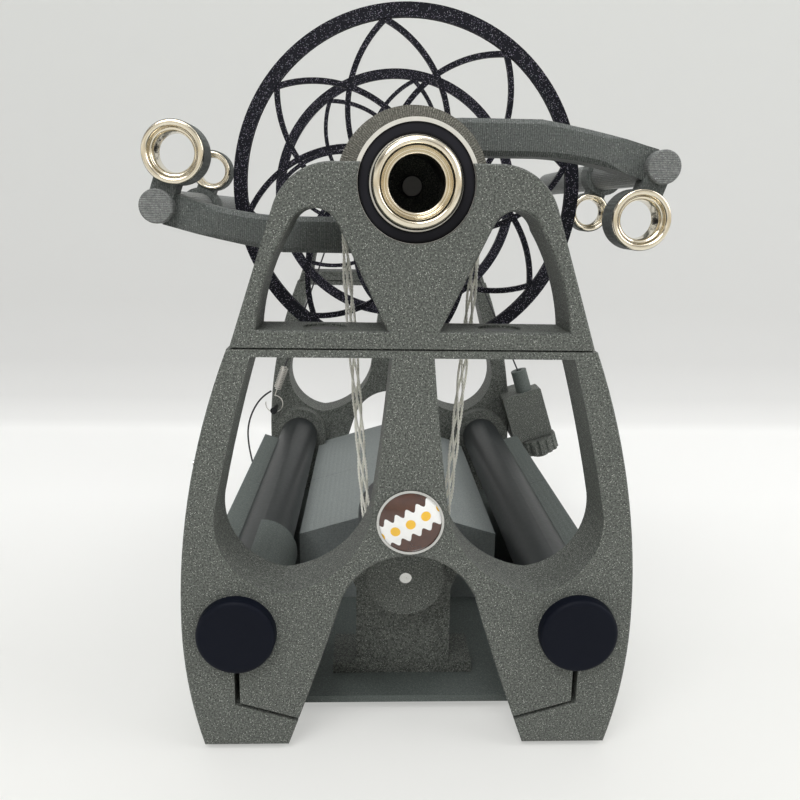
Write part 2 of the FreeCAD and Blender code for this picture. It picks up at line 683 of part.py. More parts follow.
def motor_screw_places():
    places = []
    for quarter in range(4):
        angle = math.radians(45 + 90 * quarter)
        places.append((SCREW_CIRCLE_R * math.cos(angle), MOTOR_Z + SCREW_CIRCLE_R * math.sin(angle)))
    return places


def motor_can():
    y0 = MOTOR_PLATE_Y + MOTOR_PLATE_THICK
    y1 = y0 + MOTOR_LENGTH
    can = turned([(MOTOR_SHAFT_R + RUN, y0), (MOTOR_R - 1.5, y0), ((MOTOR_R - 0.45, y0 + 0.45), (MOTOR_R, y0 + 1.5)),
                  (MOTOR_R, y1 - 1.5), ((MOTOR_R - 0.45, y1 - 0.45), (MOTOR_R - 1.5, y1)),
                  (0, y1), (0, y0 + 12), (MOTOR_SHAFT_R + RUN, y0 + 12)], 0, MOTOR_Z)
    boss = ring(6.5, MOTOR_SHAFT_R + RUN, y0 - 3, y0, 0, MOTOR_Z)
    return can.fuse(boss).removeSplitter()


def motor_screws():
    screws = []
    for x, z in motor_screw_places():
        head = rod(2.8, MOTOR_PLATE_Y - 2.0, MOTOR_PLATE_Y, x, z)
        head = head.cut(rod(1.2, MOTOR_PLATE_Y - 3.0, MOTOR_PLATE_Y - 0.8, x, z))
        screws.append(head.fuse(rod(1.5, MOTOR_PLATE_Y, MOTOR_PLATE_Y + MOTOR_PLATE_THICK, x, z)).removeSplitter())
    return screws


def motor_shaft():
    return rod(MOTOR_SHAFT_R, PULLEY_START + 0.5, MOTOR_PLATE_Y + MOTOR_PLATE_THICK + 11, 0, MOTOR_Z)


def grooved(groove, flange, bore, z=0.0):
    y0 = PULLEY_START
    y1 = PULLEY_START + PULLEY_WIDTH
    return turned([(bore, y0), (flange, y0), (flange, y0 + 1.4), (groove, y0 + 3.3), (groove, y1 - 3.3),
                   (flange, y1 - 1.4), (flange, y1), (bore, y1)], 0, z)


def belt_loop(top_r, bottom_r, y0, y1):
    """Closed outline round both pulleys: two arcs joined by their outer tangents."""
    drop = -MOTOR_Z
    lean = math.asin((top_r - bottom_r) / drop)
    c, s = math.cos(lean), math.sin(lean)
    top_right = (top_r * c, -top_r * s)
    low_right = (bottom_r * c, MOTOR_Z - bottom_r * s)
    return prism((-top_right[0], top_right[1]),
                 [((0, top_r), top_right), low_right, ((0, MOTOR_Z - bottom_r), (-low_right[0], low_right[1]))], y0, y1)


def drive_belt():
    middle = PULLEY_START + PULLEY_WIDTH / 2
    y0 = middle - BELT_WIDTH / 2
    y1 = middle + BELT_WIDTH / 2
    inner_top = PULLEY_GROOVE_R + BELT_CLEAR
    inner_low = MOTOR_GROOVE_R + BELT_CLEAR
    outer = belt_loop(inner_top + BELT_THICK, inner_low + BELT_THICK, y0, y1)
    return outer.cut(belt_loop(inner_top, inner_low, y0 - 1, y1 + 1))


# ---------------------------------------------------------------- bearings and orifice
def front_bearing_outer():
    return ring(BEARING_R, BEARING_R - RACE, BEARING_Y, BEARING_Y + BEARING_WIDTH)


def front_bearing_seal():
    front = ring(BEARING_R - RACE, ORIFICE_FLANGE_R + 0.5, BEARING_Y + 0.3, BEARING_Y + 1.1)
    filling = ring(BEARING_R - RACE, BEARING_BORE_R + RACE + 0.5, BEARING_Y + 1.1, BEARING_Y + BEARING_WIDTH - 0.3)
    return front.fuse(filling).removeSplitter()


def front_bearing_inner():
    return ring(BEARING_BORE_R + RACE + 0.4, BEARING_BORE_R, BEARING_Y + 1.3, BEARING_Y + BEARING_WIDTH)


def orifice_grommet():
    sleeve = ORIFICE_R + ORIFICE_SLEEVE
    end = NECK_HOLLOW_R - 0.05
    return turned([(ORIFICE_R, 10.0), (ORIFICE_R, -2.0), ((ORIFICE_R + 0.9, -3.8), (12.0, -4.5)),
                   ((14.3, -3.7), (ORIFICE_FLANGE_R, -1.2)), (ORIFICE_FLANGE_R, 0.8), (end, 0.8),
                   (end, 6.0), (sleeve, 6.0), (sleeve, 10.0)])


EXIT_ANGLE = -12.0
EXIT_R = 4.5


def yarn_exit():
    """Side hole through the flyer hub, from the hollow neck outwards, on both sides."""
    angle = math.radians(EXIT_ANGLE)
    direction = V(math.cos(angle), 0, math.sin(angle))
    start = V(0, ARM_START + ARM_DEPTH / 2, 0) - direction * (HUB_R + 5)
    return Part.makeCylinder(EXIT_R, 2 * HUB_R + 10, start, direction)


def flyer_neck():
    journal = BEARING_BORE_R - 0.02
    shoulder = BEARING_Y + BEARING_WIDTH
    shape = rod(journal, 0.85, shoulder).fuse(rod(NECK_R, shoulder, NECK_END)).removeSplitter()
    shape = shape.cut(rod(NECK_HOLLOW_R, 0, ARM_BACK)).cut(rod(SHAFT_R, ARM_BACK - 1, NECK_END + 1))
    return shape.cut(yarn_exit())


def rear_bearing_outer():
    return ring(REAR_BEARING_R, 6.4, REAR_Y + 0.02, REAR_Y + REAR_BEARING_WIDTH)


def rear_bearing_inner():
    return ring(6.3, SHAFT_R, REAR_Y + 0.02, REAR_Y + REAR_BEARING_WIDTH)


# ---------------------------------------------------------------- flyer
def eye_direction():
    """Unit vector from the right bar's centre to the eyelets beside it."""
    dx, dz = -6.9, -19.3
    length = math.hypot(dx, dz)
    return dx / length, dz / length


def eye_centre(offset):
    ux, uz = eye_direction()
    return BAR_X + ux * offset, BAR_Z + uz * offset


def link(x0, z0, x1, z1, width, y0, y1):
    length = math.dist((x0, z0), (x1, z1))
    nx, nz = -(z1 - z0) / length * width / 2, (x1 - x0) / length * width / 2
    return prism((x0 + nx, z0 + nz), [(x1 + nx, z1 + nz), (x1 - nx, z1 - nz), (x0 - nx, z0 - nz)], y0, y1)


EYE_FRONT = ARM_START
EYE_DEPTH = 12.0


def right_arm():
    steps = [(48.0, ARM_TOP), ((70.0, ARM_TOP - 4.1), (BAR_X - 1.0, BAR_Z + BAR_R + 0.3)),
             (BAR_X, BAR_Z), (BAR_X - 1.5, BAR_Z - BAR_R - 0.3),
             ((71.0, ARM_BOTTOM - 2.9), (48.0, ARM_BOTTOM)), (0.0, ARM_BOTTOM)]
    arm = prism((0.0, ARM_TOP - 0.9), [(5.0, ARM_TOP - 0.9), (18.0, ARM_TOP)] + steps, ARM_START, ARM_BACK)
    long_edges = []
    for edge in arm.Edges:
        box = edge.BoundBox
        if box.YLength < 1e-6 and box.XLength > 10 and box.YMin < ARM_START + 1:
            long_edges.append(edge)
    arm = arm.makeChamfer(ARM_EASE, long_edges)
    start = BAR_X - 22.0
    wedge = Part.makePolygon([V(start, ARM_START, -50), V(BAR_X + 9, ARM_START - 1, -50),
                              V(BAR_X + 9, ARM_START + ARM_TIP_CUT, -50), V(BAR_X - 6, ARM_START + ARM_TIP_CUT, -50),
                              V(start, ARM_START, -50)])
    arm = arm.cut(Part.Face(wedge).extrude(V(0, 0, 100)))
    ex, ez = eye_centre(EYE_OFFSET)
    holder = rod(EYE_RING_R, EYE_FRONT, EYE_FRONT + EYE_DEPTH, ex, ez)
    neck = link(ex, ez, BAR_X, BAR_Z, 9.0, EYE_FRONT + 1.5, EYE_FRONT + EYE_DEPTH - 1.0)
    arm = arm.fuse([holder, neck])
    arm = arm.cut(rod(EYE_BORE_R, EYE_FRONT - 1, EYE_FRONT + EYE_DEPTH + 1, ex, ez))
    return arm.cut(rod(BAR_R, BAR_FRONT, BAR_END, BAR_X, BAR_Z))


def flyer_arms():
    arm = right_arm()
    hub = rod(HUB_R, ARM_START, ARM_BACK)
    shape = hub.fuse([arm, half_turn(arm)]).removeSplitter()
    return shape.cut(rod(NECK_R, ARM_START - 1, ARM_BACK + 1)).cut(yarn_exit())


def flyer_bar():
    bar = rod(BAR_R, BAR_FRONT, BAR_END, BAR_X, BAR_Z)
    rims = [edge for edge in bar.Edges if edge.Closed and edge.Length > 1]
    return bar.makeChamfer(0.5, rims)


def eyelet(offset, y_middle, depth, bore, flange, hole):
    """Metal grommet: a tube pressed through the printed ring, with a rolled lip at each face."""
    ex, ez = eye_centre(offset)
    y0 = y_middle - depth / 2
    y1 = y_middle + depth / 2
    lip = 1.5
    wall = bore - SEAT
    return turned([(hole, y0), ((hole + 0.5, y0 - lip + 0.2), ((hole + flange) / 2, y0 - lip)),
                   ((flange - 0.4, y0 - lip + 0.3), (flange, y0)), (wall, y0), (wall, y1), (flange, y1),
                   ((flange - 0.4, y1 + lip - 0.3), ((hole + flange) / 2, y1 + lip)),
                   ((hole + 0.5, y1 + lip - 0.2), (hole, y1))], ex, ez)


def fixed_eyelets():
    eye = eyelet(EYE_OFFSET, EYE_FRONT + EYE_DEPTH / 2, EYE_DEPTH, EYE_BORE_R, EYE_FLANGE_R, EYE_HOLE_R)
    return [eye, half_turn(eye)]


def hook_body(y):
    """Sliding collar on the bar with the eyelet ring on one side and a thumb screw opposite."""
    y0, y1 = y - HOOK_LENGTH / 2, y + HOOK_LENGTH / 2
    ex, ez = eye_centre(HOOK_OFFSET)
    ux, uz = eye_direction()
    collar = rod(HOOK_COLLAR_R, y0, y1, BAR_X, BAR_Z)
    holder = rod(HOOK_RING_R, y0 + 1, y1 - 1, ex, ez)
    neck = link(ex, ez, BAR_X, BAR_Z, 8.0, y0 + 1, y1 - 1)
    screw = Part.makeCylinder(2.2, HOOK_COLLAR_R + 2.5, V(BAR_X, y, BAR_Z), V(-ux, 0, -uz))
    shape = collar.fuse([holder, neck, screw]).removeSplitter()
    shape = shape.cut(rod(BAR_R + RUN, y0 - 1, y1 + 1, BAR_X, BAR_Z))
    return shape.cut(rod(HOOK_BORE_R, y0 - 1, y1 + 1, ex, ez))


def hook_eyelet(y):
    return eyelet(HOOK_OFFSET, y, HOOK_LENGTH - 2, HOOK_BORE_R, HOOK_FLANGE_R, HOOK_HOLE_R)


# ---------------------------------------------------------------- shaft and bobbin
SHAFT_START = PULLEY_START + 5.0
SHAFT_END = REAR_Y + REAR_BEARING_WIDTH + 5.0
END_PLAY = 0.4


def flyer_shaft():
    shaft = rod(SHAFT_R, SHAFT_START, SHAFT_END)
    rims = [edge for edge in shaft.Edges if edge.Closed and edge.Length > 1]
    return shaft.makeChamfer(0.5, rims)


def shaft_spacer():
    return ring(SHAFT_R + 2.5, SHAFT_R, NECK_END, DISC_FRONT - END_PLAY)


def shaft_collar():
    return ring(SHAFT_R + 3.0, SHAFT_R, WHORL_Y + WHORL_WIDTH + END_PLAY, REAR_Y - END_PLAY)


def bobbin_disc(y0, turn):
    """Open lattice: a rim, a hub and eight overlapping rings that meet the rim."""
    y1 = y0 + DISC_THICK
    inner = DISC_R - DISC_RIM
    lattice_y0, lattice_y1 = y0 + 0.4, y1 - 0.4
    rim = ring(DISC_R, inner, y0, y1)
    hub = rod(DISC_HUB_R, y0, y1)
    rings = []
    for i in range(LATTICE_COUNT):
        angle = math.radians(turn + i * 360.0 / LATTICE_COUNT)
        x, z = LATTICE_OFFSET * math.cos(angle), LATTICE_OFFSET * math.sin(angle)
        rings.append(ring(LATTICE_R, LATTICE_R - LATTICE_LINE, lattice_y0, lattice_y1, x, z))
    lattice = rings[0].fuse(rings[1:]).common(rod(inner + 0.5, y0, y1))
    shape = lattice.fuse([rim, hub])
    return shape.cut(rod(CORE_BORE_R, y0 - 1, y1 + 1))


def bobbin_core():
    return ring(CORE_R, CORE_BORE_R, DISC_FRONT + DISC_THICK, DISC_REAR)


def bobbin_bushes():
    bore = SHAFT_R + RUN
    front = ring(CORE_BORE_R, bore, DISC_FRONT, DISC_FRONT + BUSH_LENGTH)
    rear = ring(CORE_BORE_R, bore, DISC_REAR + DISC_THICK - BUSH_LENGTH, DISC_REAR + DISC_THICK)
    return [front, rear]


def bobbin_whorl():
    y0 = DISC_REAR + DISC_THICK
    y1 = WHORL_Y + WHORL_WIDTH
    middle = WHORL_Y + WHORL_WIDTH / 2
    return turned([(SHAFT_R + RUN, y0), (CORE_R, y0), (CORE_R, y0 + 3), (SLEEVE_R, y0 + 6), (SLEEVE_R, WHORL_Y),
                   (WHORL_FLANGE_R, WHORL_Y), (WHORL_FLANGE_R, WHORL_Y + 1.4), (WHORL_GROOVE_R, middle - 1.2),
                   (WHORL_GROOVE_R, middle + 1.2), (WHORL_FLANGE_R, y1 - 1.4), (WHORL_FLANGE_R, y1),
                   (SHAFT_R + RUN, y1)])


# ---------------------------------------------------------------- brake
TILT = math.radians(BLOCK_TILT)
UP_X, UP_Z = -math.sin(TILT), math.cos(TILT)
BORE_X = BLOCK_X + BLOCK_BORE_OFFSET * math.cos(TILT)
BORE_Z = BLOCK_Z + BLOCK_BORE_OFFSET * math.sin(TILT)
BLOCK_FRONT = BRAKE_Y - PLUNGER_R - BLOCK_WALL
KNOB_GAP = 0.4


def along_bore(radius, start, end):
    """Cylinder on the brake's screw axis, from start to end above the block's middle."""
    base = V(BORE_X + UP_X * start, BRAKE_Y, BORE_Z + UP_Z * start)
    return Part.makeCylinder(radius, end - start, base, V(UP_X, 0, UP_Z))


def brake_block():
    half_w, half_h = BLOCK_WIDTH / 2, BLOCK_HEIGHT / 2
    body = block(-half_w, half_w, BLOCK_FRONT, REAR_Y, -half_h, half_h)
    body = body.makeChamfer(0.8, [edge for edge in body.Edges if abs(edge.BoundBox.YLength) > 1])
    body.rotate(ORIGIN, AXIS_Y, -BLOCK_TILT)
    body.translate(V(BLOCK_X, 0, BLOCK_Z))
    ear = block(-half_w, half_w - 9, REAR_Y, REAR_Y + 16, -half_h, half_h)
    ear.rotate(ORIGIN, AXIS_Y, -BLOCK_TILT)
    ear.translate(V(BLOCK_X, 0, BLOCK_Z))
    start, outline = lower_outline(0)
    ear = ear.cut(prism(start, outline, REAR_Y - 1, BODY_LENGTH + 1))
    body = body.fuse(ear).removeSplitter()
    body = body.cut(along_bore(SCREW_R + RUN, -half_h - 1, half_h))
    return body.cut(along_bore(PLUNGER_R + RUN, half_h - PLUNGER_IN - 6, half_h + 1))


def brake_plunger():
    top = BLOCK_HEIGHT / 2
    body = along_bore(PLUNGER_R, top - PLUNGER_IN, top + PLUNGER_OUT)
    body = body.cut(along_bore(SCREW_R + RUN, top - PLUNGER_IN - 1, top + PLUNGER_OUT - 4))
    return body.cut(along_bore(CORD_R + 1.6, top + PLUNGER_OUT - 5, top + PLUNGER_OUT + 1))


def brake_knob():
    low = -BLOCK_HEIGHT / 2 - KNOB_GAP
    body = along_bore(BRAKE_KNOB_R, low - BRAKE_KNOB_LENGTH, low)
    for i in range(14):
        angle = 2 * math.pi * i / 14
        sx = math.cos(angle) * (BRAKE_KNOB_R + 0.7)
        sy = math.sin(angle) * (BRAKE_KNOB_R + 0.7)
        base = V(BORE_X + UP_X * (low - 20) + UP_Z * sx, BRAKE_Y + sy, BORE_Z + UP_Z * (low - 20) - UP_X * sx)
        body = body.cut(Part.makeCylinder(1.9, 25, base, V(UP_X, 0, UP_Z)))
    boss = along_bore(5.0, low - BRAKE_KNOB_LENGTH - 3.5, low - BRAKE_KNOB_LENGTH)
    screw = along_bore(SCREW_R, low, BLOCK_HEIGHT / 2 - 2)
    return body.fuse([boss, screw]).removeSplitter()


def cord_route():
    """Tangent points of the brake cord on the whorl, and its two ends."""
    reach = WHORL_GROOVE_R + CORD_R + BELT_CLEAR
    top = BLOCK_HEIGHT / 2 + PLUNGER_OUT
    right_end = (BORE_X + UP_X * (top - 4), BORE_Z + UP_Z * (top - 4))
    left_end = (SPRING_X, SPRING_Z)
    points = []
    for end, side in ((left_end, -1), (right_end, 1)):
        distance = math.hypot(*end)
        angle = math.atan2(end[1], end[0]) + side * math.acos(reach / distance)
        points.append((reach * math.cos(angle), reach * math.sin(angle)))
    return left_end, points[0], (0.0, reach), points[1], right_end


def brake_cord():
    left_end, left_touch, over, right_touch, right_end = cord_route()
    edges = [Part.makeLine(at(*left_end, BRAKE_Y), at(*left_touch, BRAKE_Y)),
             Part.Arc(at(*left_touch, BRAKE_Y), at(*over, BRAKE_Y), at(*right_touch, BRAKE_Y)).toShape(),
             Part.makeLine(at(*right_touch, BRAKE_Y), at(*right_end, BRAKE_Y))]
    start = at(*left_end, BRAKE_Y)
    circle = Part.Wire([Part.makeCircle(CORD_R, start, at(*left_touch, BRAKE_Y) - start)])
    return Part.Wire(edges).makePipeShell([circle], True, False)


def spring_end():
    """Lower end of the spring's body: straight on from the cord."""
    left_end, left_touch = cord_route()[:2]
    length = math.dist(left_end, left_touch)
    ux = (left_end[0] - left_touch[0]) / length
    uz = (left_end[1] - left_touch[1]) / length
    return left_end[0] + ux * SPRING_LENGTH, left_end[1] + uz * SPRING_LENGTH


# Loose end of the brake cord: it leaves a crimp under the spring, bows outwards and hangs down.
CRIMP_ROOT = (SPRING_X - 6.2, BRAKE_Y, SPRING_LOW_Z + 1.2)
CRIMP_R = 1.5
TAIL_START = (SPRING_X - 9.6, BRAKE_Y - 0.8, SPRING_LOW_Z - 0.2)
TAIL_STEPS = [(0, 0, 0), (-5.8, -2.1, -2.9), (-13.0, -1.7, -13.6), (-16.7, -1.3, -25.8),
              (-16.4, -0.9, -37.8), (-14.4, -0.7, -49.3), (-12.2, -0.7, -59.8)]
TAIL_ROUTE = [tuple(a + b for a, b in zip(TAIL_START, step)) for step in TAIL_STEPS]


def brake_spring():
    left_end = cord_route()[0]
    low = spring_end()
    start = at(*left_end, BRAKE_Y)
    direction = at(*low, BRAKE_Y) - start
    body = Part.makeCylinder(SPRING_R, SPRING_LENGTH, start, direction)
    body = body.cut(Part.makeCylinder(SPRING_R - 0.9, SPRING_LENGTH - 2, start + direction * (1 / SPRING_LENGTH),
                                      direction))
    centre = at(ANCHOR_X, ANCHOR_Z - ANCHOR_R - HOOK_WIRE_R - SEAT + HOOK_BEND_R, BRAKE_Y)
    loop = Part.makeTorus(HOOK_BEND_R, HOOK_WIRE_R, centre, AXIS_Y)
    gap = block(centre.x - 20, centre.x - 1, BRAKE_Y - 2, BRAKE_Y + 2, centre.z - 1.5, centre.z + 1.5)
    bottom = at(*low, BRAKE_Y) - direction * (1 / SPRING_LENGTH)
    stem_end = centre + V(0.5, 0, HOOK_BEND_R)
    stem = Part.makeCylinder(HOOK_WIRE_R, (stem_end - bottom).Length, bottom, stem_end - bottom)
    root = V(*CRIMP_ROOT)
    outwards = V(*TAIL_START) - root
    crimp = Part.makeCylinder(CRIMP_R, outwards.Length, root, outwards)
    return body.fuse([stem, loop.cut(gap), crimp]).removeSplitter()


def brake_anchor_pin():
    pin = rod(ANCHOR_R, BRAKE_Y - 3.0, REAR_Y + ANCHOR_DEPTH, ANCHOR_X, ANCHOR_Z)
    head = rod(ANCHOR_R + 1.2, BRAKE_Y - 4.2, BRAKE_Y - 3.0, ANCHOR_X, ANCHOR_Z)
    return pin.fuse(head).removeSplitter()


def smooth_path(points):
    """Straight runs joined by tangent arcs, each as large as its two runs allow."""
    pts = [V(*p) for p in points]
    edges = []
    radii = []
    here = pts[0]
    for before, corner, after in zip(pts, pts[1:], pts[2:]):
        a = (before - corner)
        b = (after - corner)
        shorter = min(a.Length, b.Length)
        a.normalize()
        b.normalize()
        cut = 0.45 * shorter
        turn = math.pi - a.getAngle(b)
        radii.append(cut / math.tan(turn / 2))
        p, q = corner + a * cut, corner + b * cut
        bisector = a + b
        bisector.normalize()
        centre_distance = radii[-1] / math.cos(turn / 2)
        middle = corner + bisector * (centre_distance - radii[-1])
        edges.append(Part.makeLine(here, p))
        edges.append(Part.Arc(p, middle, q).toShape())
        here = q
    edges.append(Part.makeLine(here, pts[-1]))
    return Part.Wire(edges), radii


def brake_cord_tail():
    path, radii = smooth_path(TAIL_ROUTE)
    print("cord tail radii", [round(r, 1) for r in radii], "length", round(path.Length, 1))
    start = V(*TAIL_ROUTE[0])
    circle = Part.Wire([Part.makeCircle(CORD_R, start, V(*TAIL_ROUTE[1]) - start)])
    tube = path.makePipeShell([circle], True, False)
    print("cord tail volume ratio", round(tube.Volume / (path.Length * math.pi * CORD_R ** 2), 4))
    return tube


# ---------------------------------------------------------------- badge
def badge_rim():
    return ring(BADGE_R, BADGE_R - 0.9, -1.0, BADGE_RECESS, 0, -BADGE_DROP)


def badge_dome():
    """Domed disc: a flat back, and a shallow front that is part of a ball."""
    radius = BADGE_R - 0.9 - SEAT
    sag = 2.1
    ball_r = (radius * radius + sag * sag) / (2 * sag)
    ball = Part.makeSphere(ball_r, V(0, -0.6 - sag + ball_r, -BADGE_DROP))
    return rod(radius, -0.6 - sag, BADGE_RECESS, 0, -BADGE_DROP).common(ball)


# ---------------------------------------------------------------- build
os.makedirs("parts", exist_ok=True)

save("front_lower_frame", front_lower_frame())
save("front_upper_frame", front_upper_frame())
save("rear_lower_frame", rear_lower_frame())
save("rear_upper_frame", rear_upper_frame())
save("rubber_feet", rubber_feet())
save("rail_tube_left", rail_tube(-1))
save("rail_tube_right", rail_tube(1))
save("rail_end_caps", rail_end_caps())
save("rail_collar", rail_collar())
save("side_walls_left", side_walls(-1))
save("side_walls_right", side_walls(1))
save("base_tray", base_tray())
save("cover_front", cover_front())
save("cover_rear", cover_rear())
save("control_panel", control_panel())
save("speed_knob", speed_knob())
save("switch_housing", switch_housing())
save("direction_rocker", direction_rocker())
save("dc_jack", dc_jack())
save("control_board", control_board())
save("motor_mount", motor_mount())
save("motor_can", motor_can())
save("motor_screws", motor_screws())
save("motor_shaft", motor_shaft())
save("motor_pulley", grooved(MOTOR_GROOVE_R, MOTOR_FLANGE_R, MOTOR_SHAFT_R, MOTOR_Z))
save("drive_belt", drive_belt())
save("front_bearing_outer", front_bearing_outer())
save("front_bearing_seal", front_bearing_seal())
save("front_bearing_inner", front_bearing_inner())
save("orifice_grommet", orifice_grommet())
save("flyer_neck", flyer_neck())
save("flyer_pulley", grooved(PULLEY_GROOVE_R, PULLEY_FLANGE_R, NECK_R))
save("flyer_arms", flyer_arms())
save("flyer_bar_right", flyer_bar())
save("flyer_bar_left", half_turn(flyer_bar()))
save("fixed_eyelets", fixed_eyelets())
save("hook_right_slider", hook_body(HOOK_RIGHT_Y))
save("hook_right_eyelet", hook_eyelet(HOOK_RIGHT_Y))
save("hook_left_slider", half_turn(hook_body(HOOK_LEFT_Y)))
save("hook_left_eyelet", half_turn(hook_eyelet(HOOK_LEFT_Y)))
save("flyer_shaft", flyer_shaft())
save("shaft_collars", [shaft_spacer(), shaft_collar()])
save("rear_bearing_outer", rear_bearing_outer())
save("rear_bearing_inner", rear_bearing_inner())
save("bobbin_front_disc", bobbin_disc(DISC_FRONT, LATTICE_TURN_FRONT))
save("bobbin_rear_disc", bobbin_disc(DISC_REAR, LATTICE_TURN_REAR))
save("bobbin_core", bobbin_core())
save("bobbin_bushes", bobbin_bushes())
save("bobbin_whorl", bobbin_whorl())
save("brake_block", brake_block())
save("brake_plunger", brake_plunger())
save("brake_knob", brake_knob())
save("brake_cord", brake_cord())
save("brake_spring", brake_spring())
save("brake_anchor_pin", brake_anchor_pin())
save("brake_cord_tail", brake_cord_tail())
save("badge_rim", badge_rim())
save("badge_dome", badge_dome())
save("frame_magnets", frame_magnets())
save("side_pins", [side_pin(z) for z in PIN_HEIGHTS])
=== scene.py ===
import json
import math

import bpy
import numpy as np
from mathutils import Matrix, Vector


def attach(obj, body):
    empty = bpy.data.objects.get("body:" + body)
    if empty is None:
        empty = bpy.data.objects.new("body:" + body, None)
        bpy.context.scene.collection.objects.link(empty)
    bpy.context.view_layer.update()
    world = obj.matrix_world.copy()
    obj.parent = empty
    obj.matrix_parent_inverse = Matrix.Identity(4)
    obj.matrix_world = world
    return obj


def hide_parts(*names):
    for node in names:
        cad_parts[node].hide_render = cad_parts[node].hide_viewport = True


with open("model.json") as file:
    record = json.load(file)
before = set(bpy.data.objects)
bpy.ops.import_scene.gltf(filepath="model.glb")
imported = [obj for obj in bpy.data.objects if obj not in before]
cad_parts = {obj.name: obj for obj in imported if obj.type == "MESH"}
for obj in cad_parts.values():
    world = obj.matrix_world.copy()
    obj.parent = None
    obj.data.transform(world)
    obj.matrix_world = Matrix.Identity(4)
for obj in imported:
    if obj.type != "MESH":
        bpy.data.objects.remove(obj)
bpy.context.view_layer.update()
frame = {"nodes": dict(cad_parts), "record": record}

# %% [markdown]
# # An electric yarn spinner
#
# The spinner is a small machine: two printed frames on two rail tubes, a flyer that turns in
# ball bearings, a bobbin with lattice discs, a motor with a cord belt and a cord brake.
# Its hard parts come in ready-made from the frame. This lesson dresses them: it gives each part
# a finish, and it makes the thin pieces that need a finer shape, such as cords and the spring.

MM = 0.001
nodes = frame["nodes"]

# %% [markdown]
# ## Camera
#
# The camera stands close in front of the orifice and looks a little down, which makes the
# front frame look large and the rear one small. It is described by where it stands and by three
# small turns, and the turns are made into the columns of a matrix.

# %% Camera
CAMERA_PLACE = (-15.3 * MM, -270.85 * MM, -9.2 * MM)
CAMERA_YAW, CAMERA_PITCH, CAMERA_ROLL = 0.040, 0.231, -0.016


def camera_matrix(place, yaw, pitch, roll):
    """Right, up and backward axes after the turns: yaw about Z, then pitch down, then roll."""
    right = np.array([math.cos(yaw), -math.sin(yaw), 0.0])
    forward = np.array([math.sin(yaw) * math.cos(pitch), math.cos(yaw) * math.cos(pitch), -math.sin(pitch)])
    down = np.cross(forward, right)
    rolled_right = right * math.cos(roll) + down * math.sin(roll)
    rolled_down = down * math.cos(roll) - right * math.sin(roll)
    columns = np.eye(4)
    columns[:3, 0], columns[:3, 1], columns[:3, 2] = rolled_right, -rolled_down, -forward
    columns[:3, 3] = place
    return Matrix(columns.tolist())


camera = bpy.data.objects.new("camera", bpy.data.cameras.new("camera"))
bpy.context.collection.objects.link(camera)
camera.data.sensor_width = 36.0
camera.data.lens = 36.0
camera.data.clip_start = 0.01
camera.matrix_world = camera_matrix(CAMERA_PLACE, CAMERA_YAW, CAMERA_PITCH, CAMERA_ROLL)
bpy.context.scene.camera = camera
bpy.context.scene.view_settings.view_transform = "Standard"
print("camera at", CAMERA_PLACE)

# %% [markdown]
# ## Writing a finish down
#
# A finish is a small graph of nodes. The first class below adds nodes by name and wires them as
# they are made, so that each finish further down reads like a recipe. The second one is for
# materials: it turns coordinates into millimetres first, because grain, layers and glitter all
# have a size in millimetres.

# %% The finish writer


def tone(red, green, blue):
    """Linear colour of a shade that is given as screen values from 0 to 255."""
    shade = np.array([red, green, blue]) / 255.0
    linear = np.where(shade <= 0.04045, shade / 12.92, ((shade + 0.055) / 1.055) ** 2.4)
    return (*linear.tolist(), 1.0)


class Graph:
    """An emptied node tree, to which nodes are added by name and wired at once."""

    def __init__(self, tree):
        self.tree = tree
        self.tree.nodes.clear()

    def add(self, kind, sockets=None, **settings):
        """New node; its sockets take plain values or the outputs of other nodes."""
        node = self.tree.nodes.new("ShaderNode" + kind)
        for name, value in settings.items():
            setattr(node, name, value)
        for name, value in (sockets or {}).items():
            self.feed(node.inputs[name], value)
        return node

    def feed(self, socket, value):
        """Link an output of another node to a socket, or give the socket a plain value."""
        if isinstance(value, bpy.types.NodeSocket):
            self.tree.links.new(value, socket)
        else:
            socket.default_value = value

    def ramp(self, value, *stops):
        """Colour or grey that changes evenly from each (position, colour) to the next."""
        node = self.add("ValToRGB", {"Fac": value})
        band = node.color_ramp
        while len(band.elements) < len(stops):
            band.elements.new(0.5)
        for element, (position, colour) in zip(band.elements, stops):
            element.position = position
            element.color = colour if isinstance(colour, tuple) else (colour, colour, colour, 1.0)
        return node.outputs["Color"]

    def mix(self, share, first, second):
        """Colour between two colours: the first where share is 0, the second where it is 1."""
        node = self.add("Mix", data_type="RGBA")
        self.feed(node.inputs[0], share)
        self.feed(node.inputs[6], first)
        self.feed(node.inputs[7], second)
        return node.outputs[2]

    def maths(self, how, first, second=0.0, third=0.0):
        """One step of arithmetic on numbers or on outputs of other nodes."""
        node = self.add("Math", operation=how)
        self.feed(node.inputs[0], first)
        self.feed(node.inputs[1], second)
        self.feed(node.inputs[2], third)
        return node.outputs[0]

    def axes(self, vector):
        """The three coordinates of a vector."""
        return self.add("SeparateXYZ", {0: vector}).outputs

    def length(self, first, second):
        """Length of the slant over two legs: the root of the sum of their squares."""
        first_square = self.maths("MULTIPLY", first, first)
        second_square = self.maths("MULTIPLY", second, second)
        return self.maths("SQRT", self.maths("ADD", first_square, second_square))

    def swing(self, angle):
        """The sine of an angle, lifted so that it runs between 0 and 1."""
        return self.maths("ADD", self.maths("MULTIPLY", self.maths("SINE", angle), 0.5), 0.5)


